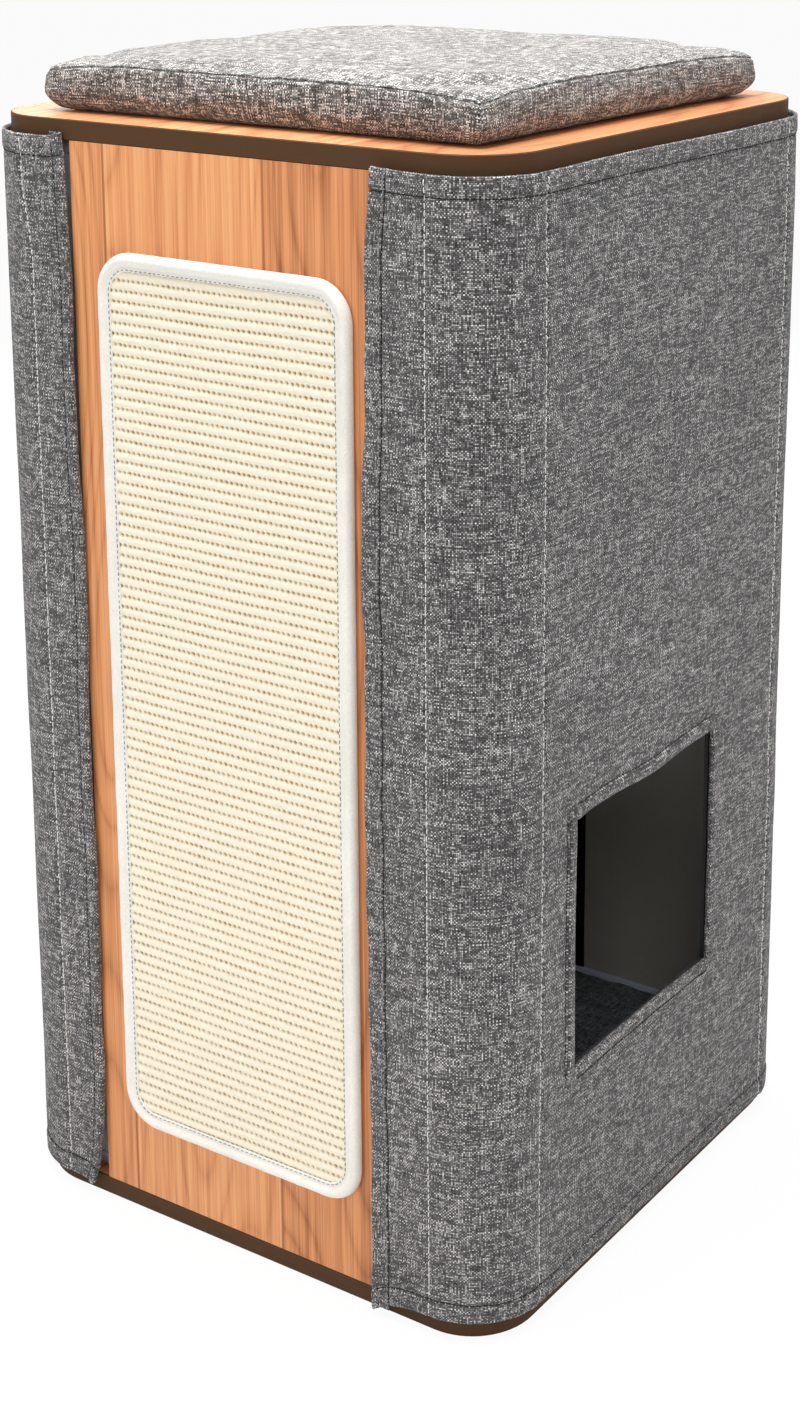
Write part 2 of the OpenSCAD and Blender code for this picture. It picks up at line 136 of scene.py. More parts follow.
def mesh_object(name: str, points: Array, faces: Sequence[Sequence[int]], uvs: Array | None = None) -> Piece:
    """Makes a smooth-shaded mesh object at the origin.

    Args:
        name: the piece's name.
        points: one row of three per vertex, in millimetres.
        faces: vertex numbers of each face.
        uvs: one row of two per vertex or per face corner, in millimetres of cloth, or None.

    Returns:
        The new object.
    """
    mesh = bpy.data.meshes.new(name)
    mesh.from_pydata((points * MM).tolist(), [], [list(f) for f in faces])
    if uvs is not None:
        if len(uvs) == len(points):
            corners = np.empty(len(mesh.loops), dtype=np.int64)
            mesh.loops.foreach_get("vertex_index", corners)
            uvs = uvs[corners]
        mesh.uv_layers.new(name="cloth").data.foreach_set("uv", (uvs * MM).ravel())
    piece = bpy.data.objects.new(name, mesh)
    bpy.context.scene.collection.objects.link(piece)
    mesh.shade_smooth()
    mesh.update()
    return piece


def pick(piece: Piece) -> None:
    """Selects one piece alone.

    Args:
        piece: the piece.
    """
    bpy.ops.object.select_all(action="DESELECT")
    bpy.context.view_layer.objects.active = piece
    piece.select_set(True)


def finish_with(piece: Piece, kind: str, **settings: object) -> None:
    """Adds a modifier to a piece and applies it.

    Args:
        piece: the object.
        kind: the modifier's type.
        settings: its properties.
    """
    modifier = piece.modifiers.new(kind.lower(), kind)
    for key, value in settings.items():
        setattr(modifier, key, value)
    pick(piece)
    bpy.ops.object.modifier_apply(modifier=modifier.name)
    piece.select_set(False)


def paint(piece: Piece, material: Material) -> None:
    """Gives a piece one material all over."""
    piece.data.materials.clear()
    piece.data.materials.append(material)


def fit(piece: Piece, material: Material, nodes: Sequence[str] = (), body: str = "condo") -> None:
    """Paints a piece and places it in the frame.

    Args:
        piece: the piece.
        material: its finish.
        nodes: the CAD nodes that it stands for.
        body: the body that it rides on.
    """
    paint(piece, material)
    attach(piece, body)
    if nodes:
        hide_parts(*nodes)


class Bench:
    """Adds and joins the nodes of one shader tree."""

    def __init__(self, tree: Tree) -> None:
        """Takes the tree to work on."""
        self.tree = tree

    def feed(self, socket: Socket, value: object) -> None:
        """Joins a socket to another one, or sets its value.

        Args:
            socket: the input.
            value: an output socket or a plain value.
        """
        if isinstance(value, bpy.types.NodeSocket):
            self.tree.links.new(value, socket)
        else:
            socket.default_value = value

    def fill(self, node: Node, **inputs: object) -> Node:
        """Fills a node's inputs.

        Args:
            node: the node.
            inputs: values or sockets, by input name with _ for a space. Longer names in capitals set properties.

        Returns:
            The same node.
        """
        for key, value in inputs.items():
            if key.isupper() and len(key) > 1:
                setattr(node, key.lower(), value)
            else:
                self.feed(node.inputs[key.replace("_", " ")], value)
        return node

    def node(self, kind: str, *values: object, **inputs: object) -> Node:
        """Adds a node.

        Args:
            kind: the node's type, without ShaderNode.
            values: values or sockets for its first inputs, in order.
            inputs: others by name, as in fill.

        Returns:
            The node.
        """
        made = self.fill(self.tree.nodes.new("ShaderNode" + kind), **inputs)
        for socket, value in zip(made.inputs, values):
            self.feed(socket, value)
        return made

    def math(self, operation: str, *values: object) -> Socket:
        """One sum of one to three values or sockets."""
        return self.node("Math", *values, OPERATION=operation).outputs[0]

    def mix(self, factor: object, a: object, b: object, blend: str = "MIX") -> Socket:
        """Mixes two colours.

        Args:
            factor: how much of the second, from 0 to 1.
            a, b: the colours.
            blend: the way of mixing.

        Returns:
            The mixed colour.
        """
        made = self.node("Mix", factor, DATA_TYPE="RGBA", BLEND_TYPE=blend)
        self.feed(made.inputs[6], a)
        self.feed(made.inputs[7], b)
        return made.outputs[2]

    def blend(self, factor: object, a: object, b: object) -> Socket:
        """Mixes two numbers.

        Args:
            factor: how much of the second, from 0 to 1.
            a, b: the numbers.

        Returns:
            The mixed number.
        """
        made = self.node("Mix", factor)
        self.feed(made.inputs[2], a)
        self.feed(made.inputs[3], b)
        return made.outputs[0]

    def vector(self, x: object = 0.0, y: object = 0.0, z: object = 0.0) -> Socket:
        """A vector from its three parts."""
        return self.node("CombineXYZ", x, y, z).outputs[0]

    def scaled(self, vector: Socket, scale: object) -> Socket:
        """A vector times a number."""
        return self.node("VectorMath", vector, OPERATION="SCALE", Scale=scale).outputs[0]

    def place(self, vector: Socket, scale: Sequence[float], offset: Sequence[float] = (0, 0, 0)) -> Socket:
        """Stretches and moves a vector."""
        return self.node("Mapping", Vector=vector, Scale=scale, Location=offset).outputs[0]

    def noise(self, vector: Socket, detail: float = 2.0, rough: float = 0.5) -> Socket:
        """A noise value from 0 to 1 at a vector."""
        return self.node("TexNoise", Vector=vector, Scale=1.0, Detail=detail, Roughness=rough).outputs[0]

    def ramp(self, factor: object, stops: Sequence[tuple[float, Colour]]) -> Socket:
        """A colour ramp.

        Args:
            factor: the place on the ramp.
            stops: places and colours, in rising order.

        Returns:
            The colour.
        """
        made = self.node("ValToRGB", Fac=factor)
        bar = made.color_ramp.elements
        while len(bar) < len(stops):
            bar.new(0.5)
        for element, (position, colour) in zip(bar, stops):
            element.position, element.color = position, colour
        return made.outputs[0]

    def span(self, value: object, low: float, high: float, to_low: float = 0.0, to_high: float = 1.0) -> Socket:
        """Maps a range of values to another and holds it there."""
        return self.node("MapRange", value, low, high, to_low, to_high).outputs[0]

    def bump(self, height: object, distance: float, strength: float) -> Socket:
        """The normal of a surface that is raised by a height."""
        return self.node("Bump", Height=height, Distance=distance, Strength=strength).outputs[0]

    def own_place(self, output: str = "Object") -> Socket:
        """The piece's own coordinates: Object, or UV of its cloth."""
        return self.node("TexCoord").outputs[output]


class Workshop:
    """Node groups that more than one finish uses, each built once from its recipe."""

    made: ClassVar[dict[str, Tree]] = {}
    # How far apart neighbouring threads lie in the noise, across and along it, so that no two of them match.
    THREAD_APART: ClassVar[float] = 7.313
    THREAD_START: ClassVar[float] = 3.771
    # Slow changes of a thread's tone per pitch, and what sets their noise apart from the flecks'.
    SLOW_RATE: ClassVar[float] = 0.065
    SLOW_SEED: ClassVar[float] = 5.3
    # The share of a tone that belongs to each crossing alone.
    CROSSING_SHARE: ClassVar[float] = 0.12

    @classmethod
    def use(cls, desk: Bench, recipe: Callable[..., dict[str, Socket]], **inputs: object) -> Node:
        """Places a shared group in a tree, and builds it at its first use.

        Args:
            desk: the tree that needs it.
            recipe: adds the group's nodes from its inputs, and returns its outputs by name.
            inputs: values or sockets for the group's inputs.

        Returns:
            The group's node.
        """
        name = recipe.__name__
        if name not in cls.made:
            tree = cls.made[name] = bpy.data.node_groups.new(name, "ShaderNodeTree")
            for key in inputs:
                kind = "NodeSocketVector" if key == "vector" else "NodeSocketFloat"
                tree.interface.new_socket(key.title(), in_out="INPUT", socket_type=kind)
            start, inner = tree.nodes.new("NodeGroupInput"), Bench(tree)
            given = recipe(inner, **{key: start.outputs[key.title()] for key in inputs})
            for key in given:
                tree.interface.new_socket(key, in_out="OUTPUT", socket_type="NodeSocketFloat")
            inner.fill(tree.nodes.new("NodeGroupOutput"), **given)
        return desk.node("Group", NODE_TREE=cls.made[name], **{key.title(): v for key, v in inputs.items()})

    @staticmethod
    def plain_weave(
        desk: Bench, vector: Socket, pitch: Socket, fleck: Socket, slub: Socket, check: Socket
    ) -> dict[str, Socket]:
        """Threads that pass over and under each other, each flecked with lighter and darker fibre.

        Args:
            desk: the group.
            vector: the place on the cloth.
            pitch: the distance between threads.
            fleck: flecks per pitch along a thread.
            slub: how strongly a thread's tone changes slowly along it.
            check: how far warp and weft differ in tone.

        Returns:
            The thread's tone and its height, from 0 to 1.
        """
        split = desk.node("SeparateXYZ", vector)
        across, along = (desk.math("DIVIDE", split.outputs[k], pitch) for k in (0, 1))
        column, row = desk.math("FLOOR", across), desk.math("FLOOR", along)
        over = desk.math("FLOORED_MODULO", desk.math("ADD", column, row), 2.0)

        def thread(number: Socket, run: Socket, seed: float) -> Socket:
            """The tone along one thread: short flecks on a slow change, begun elsewhere in each thread.

            Args:
                number: the thread's number.
                run: the place along it, in pitches.
                seed: sets warp and weft apart.

            Returns:
                The tone.
            """
            own = desk.math("MULTIPLY", number, Workshop.THREAD_APART)
            start = desk.math("MULTIPLY", number, Workshop.THREAD_START)
            short = desk.vector(own, desk.math("MULTIPLY_ADD", run, fleck, start), seed)
            place = desk.math("MULTIPLY_ADD", run, Workshop.SLOW_RATE, start)
            slow = desk.vector(own, place, seed + Workshop.SLOW_SEED)
            change = desk.math("SUBTRACT", desk.noise(slow), 0.5)
            return desk.math("MULTIPLY_ADD", change, slub, desk.noise(short, 2.0, 0.6))

        tone = desk.blend(over, thread(column, along, 3.7), thread(row, across, 21.1))
        tone = desk.math("MULTIPLY_ADD", desk.math("SUBTRACT", over, 0.5), check, tone)
        grain = desk.node("TexWhiteNoise", Vector=desk.vector(column, row)).outputs[0]
        humps = (desk.math("SINE", desk.math("MULTIPLY", desk.math("FRACT", v), math.pi)) for v in (across, along))
        tone = desk.blend(Workshop.CROSSING_SHARE, tone, grain)
        return {"Tone": tone, "Height": desk.math("SQRT", desk.math("MULTIPLY", *humps))}

    @staticmethod
    def fibre(desk: Bench, vector: Socket, scale: Socket) -> dict[str, Socket]:
        """Short crossing fibres, as on felt, tape and rope.

        Args:
            desk: the group.
            vector: the place.
            scale: fibres per metre.

        Returns:
            The fibres' height, from 0 to 1.
        """
        place = desk.scaled(vector, scale)
        long = desk.noise(desk.place(place, (1.0, 1.0, 6.0)), 3.0, 0.65)
        cross = desk.noise(desk.place(place, (6.0, 6.0, 1.0), (4.0, 0.0, 0.0)), 3.0, 0.65)
        return {"Fibre": desk.math("MAXIMUM", long, cross)}

    @staticmethod
    def mottle(desk: Bench, vector: Socket, scale: Socket) -> dict[str, Socket]:
        """Broad uneven toning, from 0 to 1."""
        return {"Mottle": desk.span(desk.noise(desk.scaled(vector, scale), 3.0, 0.55), 0.3, 0.7)}

    @staticmethod
    def wood_grain(desk: Bench, vector: Socket, rings: Socket) -> dict[str, Socket]:
        """Grain that runs along Z.

        Args:
            desk: the group.
            vector: the place in the wood.
            rings: how many rings a bend of the grain crosses.

        Returns:
            Fine pores, broader figure and arched rings.
        """
        pores = desk.noise(desk.place(vector, (900.0, 900.0, 9.0)), 3.0, 0.6)
        figure = desk.noise(desk.place(vector, (240.0, 240.0, 2.2)), 3.0, 0.6)
        bend = desk.noise(desk.place(vector, (9.0, 9.0, 2.2), (3.1, 0.0, 0.7)), 1.0, 0.4)
        saw = desk.math("MULTIPLY_ADD", desk.math("FRACT", desk.math("MULTIPLY", bend, rings)), 2.0, -1.0)
        return {"Pores": pores, "Figure": figure, "Rings": desk.math("POWER", desk.math("ABSOLUTE", saw), 3.0)}


class Finish:
    """A finish: a material with a shader of its own, built on first use."""

    name: str

    def inputs(self, desk: Bench) -> dict[str, object]:
        """Adds the finish's nodes and gives the shader's inputs by name."""
        raise NotImplementedError

    def material(self) -> Material:
        """Gives the finish's material, and makes it the first time.

        Returns:
            The material.
        """
        made = bpy.data.materials.get(self.name)
        if made is None:
            made = bpy.data.materials.new(self.name)
            made.use_nodes = True
            desk = Bench(made.node_tree)
            desk.fill(made.node_tree.nodes["Principled BSDF"], **self.inputs(desk))
        return made


@dataclass(frozen=True)
class WovenCloth(Finish):
    """Plain-woven cloth of flecked yarn."""

    name: str
    dark: Colour
    middle: Colour
    light: Colour
    pitch: float = 0.9 * MM
    fleck: float = 0.17
    slub: float = 0.9
    check: float = 0.05
    spread: Place = (0.31, 0.5, 0.7)
    # How dark the cloth is painted between the threads and how light on their tops, by the threads' height: painted
    # shade and painted highlight.
    gap: tuple[float, float] = (0.2, 1.17)
    sheen: float = 0.12

    def inputs(self, desk: Bench) -> dict[str, object]:
        """Colours each thread by its fibre, raises it over its neighbours, and paints shade between the threads and
        highlight on their tops.

        Args:
            desk: the material's tree.

        Returns:
            The shader's inputs by name.
        """
        cloth = desk.own_place("UV")
        yarn = {key: getattr(self, key) for key in ("pitch", "fleck", "slub", "check")}
        tone, height = Workshop.use(desk, Workshop.plain_weave, vector=cloth, **yarn).outputs
        broad = Workshop.use(desk, Workshop.mottle, vector=cloth, scale=9.0).outputs[0]
        colour = desk.ramp(tone, list(zip(self.spread, (self.dark, self.middle, self.light))))
        # Painted shade in the hollows between the threads and painted highlight on their tops, from the threads'
        # height.
        gap = desk.span(height, 0.0, 0.75, *self.gap)
        shade = desk.math("MULTIPLY", gap, desk.span(broad, 0.0, 1.0, 0.93, 1.07))
        return {
            "Base_Color": desk.mix(1.0, colour, desk.node("CombineColor", shade, shade, shade).outputs[0], "MULTIPLY"),
            "Roughness": desk.span(tone, 0.3, 0.7, 0.95, 0.82),
            "Specular_IOR_Level": 0.25,
            "Sheen_Weight": self.sheen,
            "Sheen_Roughness": 0.5,
            "Normal": desk.bump(height, 0.0005, 0.75),
        }


@dataclass(frozen=True)
class NonWoven(Finish):
    """Pressed fibre cloth, tape or thread, matt and slightly cloudy."""

    name: str
    colour: Colour
    deep: Colour
    scale: float = 420.0
    rough: float = 0.85

    def inputs(self, desk: Bench) -> dict[str, object]:
        """Mixes two tones by the fibres and raises them a little.

        Args:
            desk: the material's tree.

        Returns:
            The shader's inputs by name.
        """
        place = desk.own_place()
        fibre = Workshop.use(desk, Workshop.fibre, vector=place, scale=self.scale).outputs[0]
        cloud = Workshop.use(desk, Workshop.mottle, vector=place, scale=14.0).outputs[0]
        tone = desk.math("MULTIPLY_ADD", cloud, 0.3, desk.span(fibre, 0.45, 0.75, 0.0, 0.7))
        return {
            "Base_Color": desk.mix(tone, self.deep, self.colour),
            "Roughness": desk.span(fibre, 0.4, 0.8, 1.0, self.rough),
            "Specular_IOR_Level": 0.2,
            "Sheen_Weight": 0.15,
            "Normal": desk.bump(fibre, 0.0004, 0.5),
        }


class Grain(Enum):
    """The way that a board's grain runs, as a turn of its coordinates."""

    UPRIGHT = (0.0, 0.0, 0.0)
    FRONT_TO_BACK = (math.pi / 2, 0.0, 0.0)


@dataclass(frozen=True)
class WalnutFoil(Finish):
    """Walnut-look foil with fine straight grain, in planks of slightly different tone."""

    name: str
    pale: Colour
    warm: Colour
    deep: Colour
    grain: Grain
    joints: tuple[float, ...]
    rings: float = 26.0

    def inputs(self, desk: Bench) -> dict[str, object]:
        """Draws the planks, their grain and the fine lines between them.

        Args:
            desk: the material's tree.

        Returns:
            The shader's inputs by name.
        """
        turned = desk.node("Mapping", Vector=desk.own_place(), Rotation=self.grain.value).outputs[0]
        side = desk.node("SeparateXYZ", turned).outputs[0]
        plank: object = 0.0
        line: object = 0.0
        for joint in self.joints:
            plank = desk.math("ADD", desk.math("GREATER_THAN", side, joint), plank)
            off = desk.math("ABSOLUTE", desk.math("SUBTRACT", side, joint))
            line = desk.math("MAXIMUM", desk.span(off, 0.0004, 0.0013, 1.0, 0.0), line)
        shift = desk.vector(desk.math("MULTIPLY", plank, 0.37), 0.0, desk.math("MULTIPLY", plank, 1.3))
        moved = desk.node("VectorMath", turned, shift, OPERATION="ADD").outputs[0]
        pores, figure, rings = Workshop.use(desk, Workshop.wood_grain, vector=moved, rings=self.rings).outputs
        tint = desk.node("TexWhiteNoise", NOISE_DIMENSIONS="1D", W=plank).outputs[0]
        tone = desk.math("MULTIPLY_ADD", pores, 0.5, desk.math("MULTIPLY", figure, 0.62))
        tone = desk.math("ADD", tone, desk.span(tint, 0.0, 1.0, -0.09, 0.09))
        tone = desk.math("MULTIPLY_ADD", rings, 0.13, tone)
        colour = desk.ramp(tone, [(0.36, self.pale), (0.58, self.warm), (0.86, self.deep)])
        return {
            "Base_Color": desk.mix(desk.math("MULTIPLY", line, 0.8), colour, self.deep),
            "Roughness": desk.span(pores, 0.3, 0.7, 0.42, 0.55),
            "Specular_IOR_Level": 0.35,
            "Normal": desk.bump(desk.math("SUBTRACT", pores, line), 0.00015, 0.35),
        }


@dataclass(frozen=True)
class Moulded(Finish):
    """Plain edge band, sheet, metal or latex with faint streaks and wear."""

    name: str
    colour: Colour
    worn: Colour
    rough: float = 0.55
    metal: float = 0.0
    stretch: Place = (60.0, 60.0, 400.0)

    def inputs(self, desk: Bench) -> dict[str, object]:
        """Varies the tone and the gloss along fine streaks.

        Args:
            desk: the material's tree.

        Returns:
            The shader's inputs by name.
        """
        place = desk.own_place()
        streak = desk.noise(desk.place(place, self.stretch), 3.0, 0.6)
        cloud = Workshop.use(desk, Workshop.mottle, vector=place, scale=22.0).outputs[0]
        worn = desk.math("MULTIPLY", desk.span(streak, 0.5, 0.8), desk.span(cloud, 0.2, 1.0, 0.2, 0.7))
        return {
            "Base_Color": desk.mix(worn, self.colour, self.worn),
            "Roughness": desk.span(streak, 0.3, 0.7, self.rough - 0.06, self.rough + 0.08),
            "Metallic": self.metal,
            "Specular_IOR_Level": 0.25,
            "Normal": desk.bump(streak, 0.0001, 0.25),
        }


@dataclass(frozen=True)
class SisalRope(Finish):
    """Cream sisal, with painted shade down between the ribs and stray fibres on top."""

    name: str
    cream: Colour
    straw: Colour
    # The colour of the painted shade deep in the grooves.
    shade: Colour

    def inputs(self, desk: Bench) -> dict[str, object]:
        """Colours by the height kept in the weave's own attribute, which paints shade into the grooves, and by fibres.

        Args:
            desk: the material's tree.

        Returns:
            The shader's inputs by name.
        """
        place = desk.own_place()
        depth = desk.node("Attribute", ATTRIBUTE_NAME=ScratchMat.DEPTH).outputs["Fac"]
        fibre = Workshop.use(desk, Workshop.fibre, vector=place, scale=800.0).outputs[0]
        cloud = Workshop.use(desk, Workshop.mottle, vector=place, scale=60.0).outputs[0]
        tone = desk.math("MULTIPLY_ADD", desk.math("SUBTRACT", fibre, 0.55), 0.9, depth)
        tone = desk.math("MULTIPLY_ADD", cloud, 0.12, desk.math("SUBTRACT", tone, 0.06))
        return {
            # Painted shade: the shade colour where the weave lies low, straw on its flanks and cream on its tops.
            "Base_Color": desk.ramp(tone, [(0.08, self.shade), (0.36, self.straw), (0.62, self.cream)]),
            "Roughness": desk.span(fibre, 0.4, 0.8, 0.98, 0.85),
            "Specular_IOR_Level": 0.2,
            "Normal": desk.bump(fibre, 0.0005, 0.55),
        }


@dataclass(frozen=True)
class Palette:
    """All the finishes of the condo."""

    cover: WovenCloth = WovenCloth(
        "cover_heather", srgb(31, 31, 33), srgb(92, 90, 91), srgb(220, 217, 214), pitch=1.0 * MM, slub=0.6, check=0.09,
        spread=(0.25, 0.5, 0.75), gap=(0.0, 1.25),
    )
    cushion: WovenCloth = WovenCloth(
        "cushion_heather", srgb(28, 27, 27), srgb(106, 103, 101), srgb(244, 240, 235), sheen=0.2
    )
    charcoal: WovenCloth = WovenCloth("charcoal_weave", srgb(46, 48, 54), srgb(100, 104, 112), srgb(168, 172, 180))
    lining: NonWoven = NonWoven("lining_fleece", srgb(208, 204, 196), srgb(186, 182, 173))
    # The hem fleece is bluer than the body, and lighter than it as painted light where light falls in at the entrance
    # and the flaps' gaps.
    lining_hem_painted_light: NonWoven = NonWoven("lining_hem_painted_light", srgb(226, 233, 246), srgb(196, 204, 220))
    tape: NonWoven = NonWoven("closing_tape_black", srgb(26, 26, 28), srgb(8, 8, 9), 900.0)
    binding: NonWoven = NonWoven("binding_white", srgb(252, 250, 245), srgb(222, 218, 208), 520.0)
    thread: NonWoven = NonWoven("thread_white", srgb(245, 243, 240), srgb(214, 212, 208), 1500.0)
    grey_thread: NonWoven = NonWoven("thread_grey", srgb(168, 167, 165), srgb(122, 122, 122), 1500.0)
    dark_thread: NonWoven = NonWoven("thread_dark", srgb(44, 45, 49), srgb(22, 23, 26), 1500.0)
    panel: WalnutFoil = WalnutFoil(
        "walnut_front", srgb(235, 172, 117), srgb(217, 145, 93), srgb(152, 86, 46), Grain.UPRIGHT, (-0.086, 0.029)
    )
    board: WalnutFoil = WalnutFoil(
        "walnut_board", srgb(216, 156, 108), srgb(194, 128, 84), srgb(138, 80, 46), Grain.FRONT_TO_BACK, (-0.06, 0.085)
    )
    band: Moulded = Moulded("edge_band_brown", srgb(74, 48, 25), srgb(84, 57, 33), 0.7)
    beech: Moulded = Moulded("beech_dowel", srgb(222, 190, 144), srgb(196, 158, 110), 0.7)
    steel: Moulded = Moulded("zinc_plated_steel", srgb(196, 198, 200), srgb(160, 162, 166), 0.32, 1.0)
    zinc: Moulded = Moulded("cast_zinc", srgb(158, 160, 163), srgb(120, 122, 126), 0.5, 1.0)
    # Dark so that the stiffeners' edge at the entrance shows as the jamb's shade: painted shade.
    sheet: Moulded = Moulded("stiffener_painted_shade", srgb(46, 46, 48), srgb(62, 62, 64), 0.75)
    latex: Moulded = Moulded("latex_backing", srgb(206, 200, 182), srgb(180, 172, 150), 0.8)
    sisal: SisalRope = SisalRope("sisal_cream", srgb(243, 234, 213), srgb(220, 195, 154), srgb(136, 102, 62))


@dataclass
class Outline:
    """A line in plan, as straight runs and quarter bends, clockwise seen from above.

    Args:
        parts: each (x, y, turn, radius, length): a run from x, y along the heading turn, or, with a radius,
            a bend about x, y that starts at the angle turn. Angles are in degrees.
    """

    parts: list[tuple[float, float, float, float, float]]
    starts: Array = field(init=False)

    def __post_init__(self) -> None:
        """Adds up the lengths."""
        self.starts = np.concatenate([[0.0], np.cumsum([p[4] for p in self.parts])])

    @classmethod
    def round_walls(cls, ax: float, ay: float, r: float, first: float, last: float) -> Outline:
        """A box with round corners, from a place on its front to the left and round.

        Args:
            ax, ay: how far the corners' centres lie from the middle.
            r: the corners' radius.
            first, last: lengths of the front's runs before the first corner and after the last one.

        Returns:
            The line.
        """
        x, y, arc = ax + r, ay + r, math.pi / 2 * r
        return cls(
            [
                (first - ax, -y, 180.0, 0.0, first),
                (-ax, -ay, 270.0, r, arc),
                (-x, -ay, 90.0, 0.0, 2 * ay),
                (-ax, ay, 180.0, r, arc),
                (-ax, y, 0.0, 0.0, 2 * ax),
                (ax, ay, 90.0, r, arc),
                (x, ay, 270.0, 0.0, 2 * ay),
                (ax, -ay, 0.0, r, arc),
                (ax, -y, 180.0, 0.0, last),
            ]
        )

    @property
    def length(self) -> float:
        """The whole line's length."""
        return float(self.starts[-1])

    @property
    def right_wall(self) -> float:
        """Where the right wall of a box starts along the line."""
        return float(self.starts[6])

    def trace(self, s: Array, at: Array | None = None) -> Row:
        """Finds points on the line.

        Args:
            s: distances along the line.
            at: distances that choose the part of the line, where they differ from s.

        Returns:
            Points, outward normals and headings, each with rows of three.
        """
        chosen = s if at is None else at
        part_of = np.clip(np.searchsorted(self.starts, chosen, side="right") - 1, 0, len(self.parts) - 1)
        points, normals, headings = (np.zeros(s.shape + (3,)) for _ in range(3))
        for number, (x, y, turn, radius, _length) in enumerate(self.parts):
            here = part_of == number
            gone = s[here] - self.starts[number]
            if radius:
                angle = math.radians(turn) - gone / radius
                out = np.stack([np.cos(angle), np.sin(angle), 0 * angle], -1)
                points[here] = out * radius + (x, y, 0.0)
                normals[here] = out
                headings[here] = np.stack([out[:, 1], -out[:, 0], 0 * angle], -1)
            else:
                way = np.array([math.cos(math.radians(turn)), math.sin(math.radians(turn)), 0.0])
                points[here] = (x, y, 0.0) + gone[:, None] * way
                normals[here] = (-way[1], way[0], 0.0)
                headings[here] = way
        return points, normals, headings


@dataclass
class Stitcher:
    """Sews rows of short stitches along lines on a cloth."""

    length: float
    radius: float
    sides: int = 6

    # Places along a stitch, how far it stands out there and how thick it is.
    ALONG: ClassVar[Array] = np.array([-0.5, -0.36, 0.0, 0.36, 0.5])
    LIFT: ClassVar[Array] = np.array([-0.55, 0.0, 0.22, 0.0, -0.55])
    GIRTH: ClassVar[Array] = np.array([0.55, 0.95, 1.0, 0.95, 0.55])

    def sew(self, name: str, rows: Sequence[Row], material: Material) -> Piece:
        """Makes all the stitches of one thread as one piece.

        Args:
            name: the piece's name.
            rows: for each line, the stitches' middles, directions and outward normals.
            material: the thread.

        Returns:
            The piece.
        """
        middles, ways, outs = (np.concatenate([row[k] for row in rows]) for k in range(3))
        ways = ways / np.linalg.norm(ways, axis=1, keepdims=True)
        outs = outs / np.linalg.norm(outs, axis=1, keepdims=True)
        sides = np.cross(outs, ways)
        rings = [
            middles + ways * a + outs * (up + g * math.sin(t)) + sides * (g * math.cos(t))
            for a, up, g in zip(self.ALONG * self.length, self.LIFT, self.GIRTH * self.radius)
            for t in np.arange(self.sides) * 2 * math.pi / self.sides
        ]
        points, per, last = np.stack(rings, 1), len(rings), len(rings) - self.sides
        cell = [*quad_grid(len(self.ALONG), self.sides, tube=True)]
        cell += [tuple(range(self.sides))[::-1], tuple(range(last, per))]
        faces = [[base + v for v in f] for base in range(0, len(middles) * per, per) for f in cell]
        piece = mesh_object(name, points.reshape(-1, 3), faces)
        fit(piece, material)
        return piece


@dataclass
class Patch:
    """A cloth that is being laid out: its points, their place on the cloth, and its faces."""

    points: Array
    uvs: Array
    faces: list[tuple[int, ...]]

    def roll(
        self, loop: list[int], ways: Array, outs: Array, heads: Array, section: Section, shut: bool = False
    ) -> None:
        """Turns the cloth over along an edge.

        Args:
            loop: the edge's points.
            ways, outs, heads: at each, the way over the edge, the outward normal and the heading along the cloth.
            section: steps of the turn, each as a reach over the edge and a rise along the normal.
            shut: whether the edge closes on itself.
        """
        base, base_uv, count = self.points[loop], self.uvs[loop], len(loop)
        uv_way = np.stack([np.einsum("ij,ij->i", ways, heads), ways[:, 2]], -1)
        previous, spot, gone = loop, (0.0, 0.0), 0.0
        for step in section:
            gone += math.dist(step, spot)
            spot = step
            current = list(range(len(self.points), len(self.points) + count))
            self.points = np.concatenate([self.points, base + ways * step[0] + outs * step[1]])
            self.uvs = np.concatenate([self.uvs, base_uv + uv_way * gone])
            for i in range(count if shut else count - 1):
                j = (i + 1) % count
                self.faces.append((previous[j], previous[i], current[i], current[j]))
            previous = current


